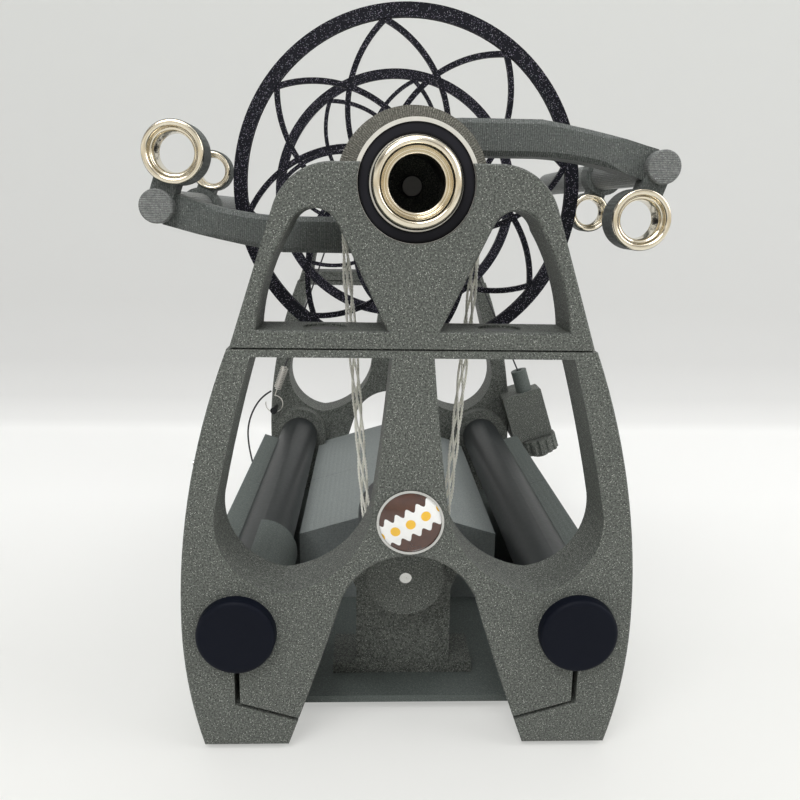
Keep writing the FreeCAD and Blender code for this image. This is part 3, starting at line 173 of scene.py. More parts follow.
class Finish(Graph):
    """A material in the making, with one principled shader and coordinates in millimetres."""

    def __init__(self, name):
        self.name = name
        self.material = bpy.data.materials.new(name)
        self.material.use_nodes = True
        super().__init__(self.material.node_tree)
        self.shader = self.add("BsdfPrincipled")
        self.output = self.add("OutputMaterial", {"Surface": self.shader.outputs[0]})
        place = self.add("TexCoord").outputs["Object"]
        self.mm = self.add("Mapping", {"Vector": place, "Scale": (1000, 1000, 1000)}).outputs[0]

    def set(self, **sockets):
        """Feed sockets of the principled shader; a _ in a name stands for a space."""
        for name, value in sockets.items():
            self.feed(self.shader.inputs[name.replace("_", " ")], value)

    def keep(self):
        """Put the material on the list of finishes under its own name."""
        finishes[self.name] = self.material

    def stretched(self, x, y, z):
        """Coordinates in millimetres times a factor along each axis."""
        return self.add("Mapping", {"Vector": self.mm, "Scale": (x, y, z)}).outputs[0]

    def noise(self, scale, detail=2.0, vector=None, rough=0.5):
        """Cloudy grey with about scale lumps in a millimetre; detail adds finer lumps to them."""
        sockets = {"Vector": vector or self.mm, "Scale": scale, "Detail": detail, "Roughness": rough}
        return self.add("TexNoise", sockets).outputs["Fac"]

    def cells(self, scale):
        """Cell pattern: distance to the cell's centre, the cell's random colour, and its red as a number."""
        node = self.add("TexVoronoi", {"Vector": self.mm, "Scale": scale})
        colour = node.outputs["Color"]
        return node.outputs["Distance"], colour, self.add("SeparateColor", {"Color": colour}).outputs[0]

    def bump(self, height, depth_mm, under=None):
        """Tilt of the surface by a height, depth_mm for every 1 of it, on top of the tilt under it."""
        sockets = {"Height": height, "Strength": 1.0, "Distance": depth_mm * MM}
        if under is not None:
            sockets["Normal"] = under
        return self.add("Bump", sockets).outputs[0]


finishes = {}
print("finish writer ready")

# %% [markdown]
# ## Printed plastic with sparkle
#
# The frames are printed in a dark grey plastic with mica in it. Seen close, the face is a fine
# sandy grain with tiny bright flakes, and the sides show the printed layers as fine lines. The
# flakes are cells: each cell has a random number, and only the highest few become bright. The
# ring of the flyer's pulley is brushed from its middle outwards, so its lines are spokes.
# The pulley's ring is also lighter and warmer than the other plastic: that is painted light from above.

# %% Printed finishes
LAYER = 0.8     # visible spacing of the layer lines, mm
WOBBLE = 1.4    # how much of a noise lies over the even wave of the layers
SPOKES = 200    # fine lines round the pulley's ring
SAND_DEPTH = 0.07       # mm
FLAKE_CELLS = 3.4       # cells in a millimetre


def layer_wave(finish, axis):
    """Rises and falls between 0 and 1 along one axis, once in every layer."""
    along = finish.axes(finish.mm)[axis]
    return finish.swing(finish.maths("MULTIPLY", along, 2 * math.pi / LAYER))


def layer_lines(finish, wave, axis):
    """Height of stacked layers: the wave, and a noise that is long along the layers and short across."""
    squash = [0.02, 0.02, 0.02]
    squash[axis] = 1.0 / LAYER
    fine = finish.noise(1.6, 1.0, finish.stretched(*squash))
    return finish.maths("ADD", wave, finish.maths("MULTIPLY", fine, WOBBLE))


def spoke_wave(finish, _axis):
    """Rises and falls between 0 and 1 along the angle about the flyer's axis: fine spokes."""
    x, _, z = finish.axes(finish.mm)
    return finish.swing(finish.maths("MULTIPLY", finish.maths("ARCTAN2", z, x), SPOKES))


def printed(name, dark, light, flake, share, axis, rough=0.58, lines=0.05, stripes=0.0, wave=layer_wave):
    """Sandy two-tone plastic with bright flakes in a share of its cells, and layer lines.

    The lines are lines mm deep and stack up along the axis (0, 1 or 2). Stripes says how far they
    also darken the colour, and wave gives their course.
    """
    finish = Finish(name)
    distance, _, chance = finish.cells(FLAKE_CELLS)
    sand = finish.noise(1.5, 3.0, rough=0.8)
    patches = finish.noise(0.35, 2.0)
    broad = finish.noise(0.04, 2.0)
    body = finish.mix(finish.ramp(sand, (0.38, 0.0), (0.62, 1.0)), dark, light)
    body = finish.mix(finish.maths("MULTIPLY", patches, 0.22), body, dark)
    body = finish.mix(finish.maths("MULTIPLY", broad, 0.2), body, dark)
    layers = wave(finish, axis)
    body = finish.mix(finish.maths("MULTIPLY", layers, stripes), body, dark)
    spark = finish.ramp(chance, (1.0 - share - 0.01, 0.0), (1.0 - share, 1.0))
    small = finish.ramp(distance, (0.25, 1.0), (0.5, 0.0))
    spark = finish.maths("MULTIPLY", spark, small)
    finish.set(Base_Color=finish.mix(spark, body, flake), Specular_IOR_Level=0.3)
    finish.set(Roughness=finish.maths("SUBTRACT", rough, finish.maths("MULTIPLY", spark, 0.2)))
    grain = finish.bump(sand, SAND_DEPTH)
    finish.set(Normal=finish.bump(layer_lines(finish, layers, axis), lines, grain))
    finish.keep()


printed("printed_dark", tone(50, 52, 49), tone(124, 128, 122), tone(208, 210, 202), 0.085, 1)
printed("printed_wall", tone(78, 84, 81), tone(104, 111, 108), tone(150, 158, 154), 0.03, 2, rough=0.6)
printed("printed_cover", tone(132, 138, 137), tone(158, 164, 162), tone(165, 170, 170), 0.02, 2, rough=0.6)
printed("printed_arm", tone(66, 70, 68), tone(122, 126, 123), tone(180, 184, 178), 0.02, 0,
        lines=0.12, stripes=0.5)
printed("printed_bar", tone(96, 98, 97), tone(150, 153, 150), tone(190, 195, 190), 0.03, 2,
        lines=0.14, stripes=0.6)
# The pulley's ring: a lighter, warmer copy of the printed plastic, which is painted light from above; its
# spokes are its own fine lines.
printed("printed_ring_painted_light", tone(78, 77, 70), tone(172, 170, 158), tone(210, 208, 196), 0.03, 2,
        lines=0.10, stripes=0.7, wave=spoke_wave)
print("printed finishes:", sorted(finishes))

# %% [markdown]
# ## Glitter plastic
#
# The bobbin is printed in black plastic with glitter. A flake takes the tint of its cell's random
# colour and stands a little proud of the plastic, so that some flakes flash and others stay dull.

# %% Glitter


def glitter(name, base):
    """Near-black plastic with a tinted flake in about a seventh of its cells."""
    finish = Finish(name)
    distance, colour, chance = finish.cells(3.2)
    flake = finish.ramp(chance, (0.84, 0.0), (0.87, 1.0))
    small = finish.ramp(distance, (0.3, 1.0), (0.55, 0.0))
    flake = finish.maths("MULTIPLY", flake, small)
    tint = finish.mix(0.88, colour, (0.50, 0.53, 0.66, 1.0))
    sand = finish.noise(1.3, 3.0)
    body = finish.mix(sand, base, tuple(v * 2.2 for v in base[:3]) + (1.0,))
    shown = finish.maths("MULTIPLY", flake, 0.55)
    finish.set(Base_Color=finish.mix(shown, body, tint), Specular_IOR_Level=0.18)
    finish.set(Roughness=finish.maths("SUBTRACT", 0.55, finish.maths("MULTIPLY", flake, 0.2)))
    finish.set(Normal=finish.bump(finish.maths("ADD", finish.maths("MULTIPLY", sand, 0.4), flake), 0.035))
    finish.keep()


glitter("glitter_disc", tone(8, 9, 17))
print("glitter ready")

# %% [markdown]
# ## Tubes, caps, rubber and small moulded parts
#
# These are dark and quiet. What tells them apart is how sharply they reflect, and the fine
# unevenness of that reflection, so each gets its own grain and its own roughness.

# %% Moulded and painted finishes
ROUGH_SPREAD = 0.12     # how far the roughness varies over such a part


def moulded(name, base, rough, grain_scale, grain, gloss):
    """Quiet plastic, rubber or paint: grain is its depth in mm, and the roughness varies with it."""
    finish = Finish(name)
    sand = finish.noise(grain_scale, 3.0)
    broad = finish.noise(0.04, 2.0)
    lighter = tuple(min(1.0, v * 1.35) for v in base[:3]) + (1.0,)
    finish.set(Base_Color=finish.mix(broad, base, lighter), Specular_IOR_Level=gloss)
    uneven = finish.maths("MULTIPLY", sand, ROUGH_SPREAD)
    finish.set(Roughness=finish.maths("ADD", rough - ROUGH_SPREAD / 2, uneven))
    finish.set(Normal=finish.bump(sand, grain))
    finish.keep()
    return finish


moulded("black_tube", tone(34, 37, 38), 0.42, 0.5, 0.01, gloss=0.35)
moulded("black_cap", tone(8, 12, 23), 0.55, 1.2, 0.04, gloss=0.12)
moulded("black_plastic", tone(22, 23, 26), 0.4, 1.0, 0.03, gloss=0.3)
moulded("black_rubber", tone(12, 12, 15), 0.6, 1.5, 0.03, gloss=0.12)
moulded("motor_steel", tone(40, 41, 44), 0.35, 0.3, 0.008, gloss=0.4)
print("moulded finishes ready")

# %% The seal of the front bearing
SEAL_INNER_R, SEAL_WIDTH = 15.0, 5.0


def seal_finish():
    """Black rubber with a paler ring in it: its shade depends on the distance from the flyer's axis."""
    finish = moulded("seal_rubber", tone(8, 8, 11), 0.6, 1.5, 0.03, gloss=0.15)
    x, _, z = finish.axes(finish.mm)
    share = finish.maths("DIVIDE", finish.maths("SUBTRACT", finish.length(x, z), SEAL_INNER_R), SEAL_WIDTH)
    ring = finish.ramp(share, (0.20, 0.0), (0.34, 1.0), (0.72, 1.0), (0.84, 0.0))
    finish.set(Base_Color=finish.mix(ring, tone(9, 9, 12), tone(34, 34, 40)))


seal_finish()
print("seal ready")

# %% [markdown]
# ## Bright metal
#
# Eyelets and the orifice are pressed metal with a bright plating that looks slightly warm. Real
# plating is never perfectly even: a broad noise moves its colour and its roughness, and a fine
# one makes its surface a little uneven.

# %% Metal finishes


def metal(name, base, rough):
    """Plated or polished metal with faint clouds in it."""
    finish = Finish(name)
    cloud = finish.noise(0.35, 4.0)
    fine = finish.noise(3.0, 2.0)
    darker = tuple(v * 0.82 for v in base[:3]) + (1.0,)
    finish.set(Base_Color=finish.mix(cloud, base, darker), Metallic=1.0)
    finish.set(Roughness=finish.maths("ADD", rough, finish.maths("MULTIPLY", cloud, 0.08)))
    finish.set(Normal=finish.bump(fine, 0.004))
    finish.keep()


metal("plated_metal", tone(238, 229, 209), 0.12)
metal("bright_steel", tone(205, 205, 202), 0.22)
metal("bearing_steel", tone(244, 244, 240), 0.30)
metal("spring_wire", tone(222, 220, 214), 0.25)
print("metal finishes ready")

# %% [markdown]
# ## Cord, board and badge
#
# The belt is ivory cord and the brake cord is dark. Their twist is made as shape, so the finish
# only adds the fibres. The badge's dome carries a pale wavy band with yellow spots on a brown
# ground, drawn from the two distances across the dome.

# %% Fibre finishes


def fibre(name, dark, light):
    """Matt yarn: a fine noise stands for its hairs."""
    finish = Finish(name)
    hair = finish.noise(4.0, 3.0, finish.stretched(2.5, 2.5, 0.5))
    finish.set(Base_Color=finish.mix(hair, dark, light), Roughness=0.85, Sheen_Weight=0.2)
    finish.set(Normal=finish.bump(hair, 0.04))
    finish.keep()


fibre("belt_cord", tone(238, 235, 220), tone(255, 255, 250))
fibre("dark_cord", tone(28, 28, 30), tone(66, 66, 68))
print("cord finishes ready")

# %% Circuit board
board = Finish("circuit_board")
tracks = board.cells(0.35)[0]
board.set(Base_Color=board.ramp(tracks, (0.25, tone(16, 70, 38)), (0.6, tone(26, 96, 54))), Roughness=0.35)
board.set(Normal=board.bump(board.noise(1.0, 2.0), 0.02))
board.keep()
print("board ready")

# %% Badge
BADGE_CENTRE = (0.0, 0.0, -118.2)
BAND_LEAN = 0.5         # radians
BAND_HALF = 4.6         # mm from the band's middle line to the middle of its wavy edge
WAVE_RATE = 1.5         # radians of the wave in a millimetre
WAVE_HEIGHT = 1.1       # mm
SPOT_STEP = 6.2         # mm from one yellow spot to the next
SPOT_SPAN = 10.0        # mm from a spot's middle that count as 1 in its ramp


def badge_finish():
    """A pale band with wavy edges across a dark ground, and yellow spots at even steps along it."""
    finish = Finish("badge_enamel")
    shifted = finish.add("VectorMath", {0: finish.mm, 1: BADGE_CENTRE}, operation="SUBTRACT").outputs[0]
    leaning = finish.add("VectorRotate", {"Vector": shifted, "Axis": (0, 1, 0), "Angle": BAND_LEAN})
    along, _, over = finish.axes(leaning.outputs[0])
    wave = finish.maths("SINE", finish.maths("MULTIPLY", along, WAVE_RATE))
    edge = finish.maths("ADD", finish.maths("MULTIPLY", wave, WAVE_HEIGHT), BAND_HALF)
    inside = finish.maths("SUBTRACT", edge, finish.maths("ABSOLUTE", over))
    white = finish.ramp(inside, (0.0, 0.0), (0.12, 1.0))
    number = finish.maths("ROUND", finish.maths("DIVIDE", along, SPOT_STEP))
    aside = finish.maths("SUBTRACT", along, finish.maths("MULTIPLY", number, SPOT_STEP))
    reach = finish.maths("DIVIDE", finish.length(aside, over), SPOT_SPAN)
    spot = finish.ramp(reach, (0.17, 1.0), (0.19, 0.0))
    back = finish.mix(finish.noise(0.3, 2.0), tone(52, 26, 18), tone(84, 46, 30))
    face = finish.mix(white, back, tone(240, 240, 238))
    finish.set(Base_Color=finish.mix(spot, face, tone(238, 186, 36)), Roughness=0.2)
    finish.set(Coat_Weight=0.8, Coat_Roughness=0.05)
    finish.set(Normal=finish.bump(finish.noise(0.8, 2.0), 0.01))
    finish.keep()


badge_finish()
print("badge ready")

# %% [markdown]
# ## Dressing the ready-made parts
#
# The record names a finish for every part. A few parts look different from the rest of their kind, so
# they take a finish of their own; for the pulley's ring and the flyer's shaft the difference is painted light
# and shade. A loop puts the finishes on.

# %% Put the finishes on
own_finish = {"flyer_bar_left": "printed_bar", "flyer_bar_right": "printed_bar",
              # The pulley's ring takes its lighter plastic as painted light from above.
              "flyer_pulley": "printed_ring_painted_light", "rail_collar": "printed_wall", "brake_plunger": "printed_wall",
              "front_bearing_seal": "seal_rubber", "badge_rim": "bright_steel",
              # The flyer's shaft takes dark steel as painted shade, deep in the orifice's tunnel.
              "flyer_shaft": "motor_steel", "frame_magnets": "motor_steel"}
for row in frame["record"]["subparts"]:
    part = nodes[row["node"]]
    finish = finishes[own_finish.get(row["node"], row["material_slot"])]
    part.data.materials.clear()
    part.data.materials.append(finish)

# %% [markdown]
# ## A tube along a path
#
# Cords and wires are all tubes that follow a path. The path is a row of points. At each point
# there are two directions across the path, and a given way up keeps them from twisting about it.
# The tube's surface is the path plus a circle in those two directions.

# %% Paths and tubes
ALONG_Y = np.array([0.0, 1.0, 0.0])


def unit(rows):
    """Each row at length one."""
    return rows / np.linalg.norm(rows, axis=-1, keepdims=True)


def across(path, up, closed):
    """Two directions across the path at each point: side, square to tangent and up, and over."""
    if closed:
        tangent = unit(np.roll(path, -1, 0) - np.roll(path, 1, 0))
    else:
        tangent = unit(np.gradient(path, axis=0))
    side = unit(np.cross(tangent, up))
    return side, np.cross(side, tangent)


def tube_grid(path, radius, sides, up, closed):
    """Ring of points round each path point: path + r (cos a side + sin a over)."""
    side, over = across(path, up, closed)
    angle = np.linspace(0, 2 * np.pi, sides, endpoint=False)
    circle = np.cos(angle)[None, :, None] * side[:, None] + np.sin(angle)[None, :, None] * over[:, None]
    return path[:, None] + radius * circle


def grid_faces(rows, columns, closed_rows, start=0):
    """Quads of a grid that is closed round its columns, and round its rows if asked."""
    last = rows if closed_rows else rows - 1
    i, j = np.meshgrid(np.arange(last), np.arange(columns), indexing="ij")
    i2, j2 = (i + 1) % rows, (j + 1) % columns
    quads = np.stack([i * columns + j, i * columns + j2, i2 * columns + j2, i2 * columns + j], -1)
    return quads.reshape(-1, 4) + start


def even_steps(line, count, closed):
    """Points at equal steps along a flat line, which runs back to its start if closed; and its length."""
    run = np.concatenate([[0], np.cumsum(np.linalg.norm(np.diff(line, axis=0), axis=1))])
    even = np.linspace(0, run[-1], count, endpoint=not closed)
    return np.interp(even, run, line[:, 0]), np.interp(even, run, line[:, 1]), run[-1]


def make_piece(name, points, quads, finish, body, caps=()):
    """Mesh object from points in millimetres and quads, smooth, on a body."""
    mesh = bpy.data.meshes.new(name)
    mesh.from_pydata((np.asarray(points) * MM).tolist(), [], [list(q) for q in quads.tolist()] + list(caps))
    mesh.polygons.foreach_set("use_smooth", np.ones(len(mesh.polygons), bool))
    mesh.materials.append(finishes[finish])
    mesh.update()
    piece = bpy.data.objects.new(name, mesh)
    bpy.context.collection.objects.link(piece)
    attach(piece, body)
    print(name, "faces:", len(mesh.polygons))
    return piece


def tubes(name, paths, radius, sides, up, closed, finish, body):
    """One piece from several tubes of one thickness; open tubes get flat ends."""
    points, quads, caps, start = [], [], [], 0
    for path in paths:
        grid = tube_grid(path, radius, sides, up, closed)
        rows = len(path)
        points.append(grid.reshape(-1, 3))
        quads.append(grid_faces(rows, sides, closed, start)[:, ::-1])
        if not closed:
            caps.append([start + k for k in range(sides)])
            caps.append([start + (rows - 1) * sides + k for k in range(sides)][::-1])
        start += rows * sides
    return make_piece(name, np.concatenate(points), np.concatenate(quads), finish, body, caps)


def wound(path, up, radius, turns, phase, closed):
    """Helix round a path: path + radius (cos a side + sin a over), a = phase + turns times the share run."""
    side, over = across(path, up, closed)
    step = np.linalg.norm(np.diff(path, axis=0, append=path[:1] if closed else path[-1:]), axis=1)
    run = np.concatenate([[0], np.cumsum(step)[:-1]])
    angle = 2 * np.pi * turns * run / (step.sum() if closed else run[-1]) + phase
    return path + radius * (np.cos(angle)[:, None] * side + np.sin(angle)[:, None] * over)


print("tube tools ready")

# %% [markdown]
# ## Pressed metal eyes
#
# The orifice and the yarn eyes are pressed metal: a rolled rim, a wall that falls inwards, and a
# thin inner lip. Such a round part is a profile of radius and depth turned about its axis. The
# profile's corners are first cut off again and again, so that light runs over it smoothly.

# %% Turned pieces
CUTS = 3
SEGMENTS = 96


def rounded(profile):
    """Corner cutting: each step keeps points at 1/4 and 3/4 of every side of the closed profile."""
    line = np.array(profile, float)
    for _ in range(CUTS):
        following = np.roll(line, -1, 0)
        line = np.stack([0.75 * line + 0.25 * following, 0.25 * line + 0.75 * following], 1).reshape(-1, 2)
    return line


def turn(profile, centre):
    """Grid of a closed profile (radius, y) turned about the line along Y through centre (x, z)."""
    angle = np.linspace(0, 2 * np.pi, SEGMENTS, endpoint=False)
    radius, depth = profile[:, 0], profile[:, 1]
    x = centre[0] + radius[:, None] * np.cos(angle)[None]
    z = centre[1] + radius[:, None] * np.sin(angle)[None]
    return np.stack([x, np.broadcast_to(depth[:, None], x.shape), z], -1)


def turned_piece(name, parts, finish, body, *replaced):
    """One piece from several (profile, centre) pairs; each is closed both ways.

    The sign of a profile's area tells which way round it runs, and so which way its faces look.
    """
    points, quads, start = [], [], 0
    for profile, centre in parts:
        grid = turn(profile, centre)
        rows, columns = grid.shape[:2]
        points.append(grid.reshape(-1, 3))
        faces = grid_faces(rows, columns, True, start)
        radius, depth = profile[:, 0], profile[:, 1]
        area = np.sum(radius * np.roll(depth, -1) - np.roll(radius, -1) * depth)
        quads.append(faces[:, ::-1] if area > 0 else faces)
        start += rows * columns
    piece = make_piece(name, np.concatenate(points), np.concatenate(quads), finish, body)
    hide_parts(*replaced)


ORIFICE_PROFILE = [(15.15, 0.8), (15.15, -1.6), (14.6, -3.6), (13.4, -4.45), (12.5, -4.3), (11.9, -3.2),
                   (11.4, -1.4), (11.1, 0.1), (10.6, 0.45), (10.1, -0.15), (9.5, -0.1), (9.15, 0.8),
                   (9.15, 3.0), (9.15, 9.9), (10.4, 9.95), (10.5, 6.0), (11.5, 5.9), (11.55, 0.85)]
orifice = rounded(ORIFICE_PROFILE)
turned_piece("orifice_lip", [(orifice, (0.0, 0.0))], "plated_metal", "flyer", "orifice_grommet")

# %% Yarn eyes
BAR_RADIUS, BAR_ANGLE = 94.5, math.radians(5.2)
BAR = BAR_RADIUS * np.array([math.cos(BAR_ANGLE), math.sin(BAR_ANGLE)])
EYE_WAY = np.array([-6.9, -19.3]) / math.hypot(6.9, 19.3)
FIXED_EYE = BAR + 20.5 * EYE_WAY
SLIDING_EYE = BAR + 17.6 * EYE_WAY
RIM = [(0.0, 0.0), (0.02, -1.0875), (0.16, -1.45), (0.36, -1.45), (0.52, -0.87), (0.64, 0.35), (0.76, 0.6),
       (0.86, 1.0), (1.0, 2.6)]     # share of the way from the rim's edge to the hole, and depth in mm
WALL_PLAY, FACE_PLAY = 0.1, 0.05    # gaps between the eye and the ring that holds it


def eye_profile(middle, depth, bore, flange, hole):
    """Eye pressed through a ring: the same rolled rim at both faces and a straight wall between."""
    low, high = middle - depth / 2, middle + depth / 2
    rim = [(flange - share * (flange - hole), y) for share, y in RIM]
    front = [(r, low + y) for r, y in rim]
    back = [(r, high - y) for r, y in reversed(rim)]
    wall = bore - WALL_PLAY
    return front + back + [(wall, high - FACE_PLAY), (wall, low + FACE_PLAY)]


fixed = rounded(eye_profile(42.0, 12.0, 9.2, 11.4, 7.0))
turned_piece("arm_eyes", [(fixed, FIXED_EYE), (fixed, -FIXED_EYE)], "plated_metal", "flyer", "fixed_eyelets")
sliding = rounded(eye_profile(118.0, 8.0, 7.2, 8.5, 5.6))
turned_piece("right_hook_eye", [(sliding, SLIDING_EYE)], "plated_metal", "hook_right", "hook_right_eyelet")
turned_piece("left_hook_eye", [(sliding, -SLIDING_EYE)], "plated_metal", "hook_left", "hook_left_eyelet")

# %% [markdown]
# ## The drive belt
#
# The belt is thin ivory cord that goes round four times, from the big pulley on the flyer to the
# small one on the motor. Each round is a two-ply twist. The middle line is made of two arcs and
# their outer tangents, and the rounds are wound about it: close together on the pulleys, where
# the groove holds them, and loosely between.

# %% Drive belt
PULLEY_Y = 31.0
MOTOR_Z = -153.0
FLYER_PITCH_R, MOTOR_PITCH_R = 26.12, 14.02
BELT_ROUNDS, BELT_PLIES = 4, 2
BELT_ROUND_R, BELT_LOOSE_R = 0.36, 1.5      # from the middle line sideways: on a pulley, and between
BELT_DEEP_R = 1.05                          # and along the axis
BELT_TURNS = 7                              # of the rounds about each other
FREE_BELOW, FREE_ABOVE = 12, 8              # the rounds loosen from here, below and above the two axes
FREE_WAY = 25                               # and are loose after this way
PLY_OFFSET, PLY_R, PLY_LAY = 0.23, 0.29, 2.6    # a lay is one turn of the plies


def belt_line(count):
    """Closed line, evenly spaced: over the top pulley, down, under the low pulley and up."""
    lean = math.asin((FLYER_PITCH_R - MOTOR_PITCH_R) / -MOTOR_Z)
    top = np.linspace(np.pi + lean, -lean, 400)
    low = np.linspace(-lean, -np.pi + lean, 240)
    over = np.stack([FLYER_PITCH_R * np.cos(top), FLYER_PITCH_R * np.sin(top)], 1)
    under = np.stack([MOTOR_PITCH_R * np.cos(low), MOTOR_Z + MOTOR_PITCH_R * np.sin(low)], 1)
    x, z, length = even_steps(np.concatenate([over, under, over[:1]]), count, True)
    return np.stack([x, np.full(count, PULLEY_Y), z], 1), length


def belt():
    """Rounds: middle line + (reach cos a) side + (deep radius sin a) over, a quarter turn apart.

    The reach eases from the tight to the loose value by 3 f f - 2 f f f, where f goes from 0 at a
    pulley to 1 in the free part. Each round then becomes the middle line of two plies.
    """
    line, length = belt_line(1500)
    side, over = across(line, ALONG_Y, True)
    free = np.clip(np.minimum(-line[:, 2] - FREE_BELOW, line[:, 2] - MOTOR_Z - FREE_ABOVE) / FREE_WAY, 0, 1)
    reach = BELT_ROUND_R + (BELT_LOOSE_R - BELT_ROUND_R) * free * free * (3 - 2 * free)
    paths = []
    for k in range(BELT_ROUNDS):
        angle = 2 * np.pi * (BELT_TURNS * np.arange(len(line)) / len(line) + k / BELT_ROUNDS)
        aside = (reach * np.cos(angle))[:, None] * side
        round_line = line + aside + (BELT_DEEP_R * np.sin(angle))[:, None] * over
        for ply in range(BELT_PLIES):
            phase = 2 * np.pi * ply / BELT_PLIES
            paths.append(wound(round_line, ALONG_Y, PLY_OFFSET, round(length / PLY_LAY), phase, True))
    piece = tubes("belt_cords", paths, PLY_R, 6, ALONG_Y, True, "belt_cord", "base")
    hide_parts("drive_belt")
    print("belt length mm:", round(length, 1))


belt()

# %% [markdown]
# ## The brake cord, its spring and its loose end
#
# A dark cord runs from a spring on the left, over the whorl of the bobbin, down into the plunger
# on the right. The knob under the block pulls it tighter. The spring is a helix that narrows at
# both ends and goes on as a stem and an open hook. The cord's loose end hangs from the crimp
# under the spring.

# %% Brake cord
BRAKE_Y = 268.5
CORD_REACH = 30.62
SPRING_TOP = np.array([-72.6, -113.0])
PLUNGER_TOP = np.array([89.0, -118.24])
BRAKE_PLIES, BRAKE_TWISTS = 3, 130
BRAKE_PLY_OFFSET, BRAKE_PLY_R = 0.27, 0.30


def touch(end, side):
    """Point where a straight line from end touches the circle of the whorl, and its angle there."""
    angle = math.atan2(end[1], end[0]) + side * math.acos(CORD_REACH / np.hypot(*end))
    return CORD_REACH * np.array([math.cos(angle), math.sin(angle)]), angle


left_touch, left_angle = touch(SPRING_TOP, -1)
_, right_angle = touch(PLUNGER_TOP, 1)
left_angle += 2 * np.pi if left_angle < right_angle else 0


def brake_line(count):
    """Evenly spaced line: straight up to the whorl, over its arc, and straight down to the plunger."""
    arc = np.linspace(left_angle, right_angle, 200)
    over = CORD_REACH * np.stack([np.cos(arc), np.sin(arc)], 1)
    x, z, _ = even_steps(np.concatenate([SPRING_TOP[None], over, PLUNGER_TOP[None]]), count, False)
    return np.stack([x, np.full(count, BRAKE_Y), z], 1)


cord_line = brake_line(900)
plies = [wound(cord_line, ALONG_Y, BRAKE_PLY_OFFSET, BRAKE_TWISTS, 2 * np.pi * k / BRAKE_PLIES, False)
         for k in range(BRAKE_PLIES)]
brake_piece = tubes("brake_cord_plies", plies, BRAKE_PLY_R, 6, ALONG_Y, False, "dark_cord", "base")
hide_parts("brake_cord")

# %% Spring and hook
SPRING_LENGTH, SPRING_R, WIRE_R = 17.0, 2.3, 0.36
SPRING_TURNS = 14
NARROW_SHARE = 0.04         # of the spring's length, at each end
HOOK_CENTRE = np.array([-80.4, BRAKE_Y, -139.35])
HOOK_R = 5.9
HOOK_FROM, HOOK_TO = 85, -195       # degrees


def spring_line():
    """Points of the wire, and for each point the direction that its tube takes as up.

    Coil: start + (share of length) down + (radius) (cos a along Y + sin a across), a = turns times
    share. It follows the cord's direction. A stem leads from it to the arc of the hook.
    """
    start = np.array([SPRING_TOP[0], BRAKE_Y, SPRING_TOP[1]])
    away = SPRING_TOP - left_touch
    down = np.array([away[0], 0.0, away[1]]) / np.hypot(*away)
    other = np.cross(down, ALONG_Y)
    share = np.linspace(0, 1, 620)
    wide = np.clip(np.minimum(share, 1 - share) / NARROW_SHARE, 0.0, 1.0)[:, None]
    angle = 2 * np.pi * SPRING_TURNS * share
    outwards = np.cos(angle)[:, None] * ALONG_Y + np.sin(angle)[:, None] * other
    coil = start + np.outer(share * SPRING_LENGTH, down) + SPRING_R * wide * outwards
    arc = np.radians(np.linspace(HOOK_FROM, HOOK_TO, 90))
    hook = HOOK_CENTRE + HOOK_R * np.stack([np.cos(arc), 0 * arc, np.sin(arc)], 1)
    stem = np.linspace(coil[-1], hook[0], 12)[1:-1]
    ups = np.concatenate([wide * outwards + (1 - wide) * ALONG_Y,
                          np.tile(ALONG_Y, (len(stem) + len(hook), 1))])
    return np.concatenate([coil, stem, hook]), ups


spring_path, spring_ups = spring_line()
spring_piece = tubes("brake_spring_wire", [spring_path], WIRE_R, 8, spring_ups, False, "spring_wire", "base")
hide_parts("brake_spring")

# %% Loose end of the brake cord
TAIL_POINTS = [(-82.2, 267.7, -130.2), (-88.0, 265.6, -133.1), (-95.2, 266.0, -143.8), (-98.9, 266.4, -156.0),
               (-98.6, 266.8, -168.0), (-96.6, 267.0, -179.5), (-94.4, 267.0, -190.0)]
TAIL_DIAMETER = 1.2


def tail_cord():
    """Round cord along a smooth curve that the points pull towards them; it starts and ends on a point."""
    curve = bpy.data.curves.new("brake_cord_end", "CURVE")
    curve.dimensions = "3D"
    spline = curve.splines.new("NURBS")
    spline.points.add(len(TAIL_POINTS) - 1)
    for point, place in zip(spline.points, TAIL_POINTS):
        point.co = (*[v * MM for v in place], 1.0)
    spline.order_u = 3
    spline.use_endpoint_u = True
    spline.resolution_u = 16
    curve.bevel_depth = TAIL_DIAMETER / 2 * MM
    curve.bevel_resolution = 3
    curve.use_fill_caps = True
    curve.materials.append(finishes["dark_cord"])
    piece = bpy.data.objects.new("brake_cord_end", curve)
    bpy.context.collection.objects.link(piece)
    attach(piece, "base")
    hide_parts("brake_cord_tail")
    print("loose end:", len(TAIL_POINTS), "points")


tail_cord()

# %% [markdown]
# ## Floor, backdrop and light
#
# The spinner stands on a white table with a pale grey wall close behind it. One curved sheet does
# both: a flat floor that bends up into the wall. The sheet also glows a little, so that it looks
# as bright as a lit room, and its back is clear, so that it never hides the spinner. The light is
# soft and comes mostly from above and in front, and the world gives the rest.

# %% Floor and wall
FLOOR_Z = -211.6
WALL_Y = 560.0
BEND_R = 110.0
SHEET_HALF, SHEET_NEAR, SHEET_TOP = 3500, -3000, 3000   # half width, near edge and top edge
SHEET_COLUMNS = 20
WALL_RAMP = 400.0                           # height over the floor that counts as 1 in the wall's ramp
TABLE_START, TABLE_RAMP = -200.0, 600.0     # where the table's ramp starts along Y, and its length
GLOW_SHARE = 0.50


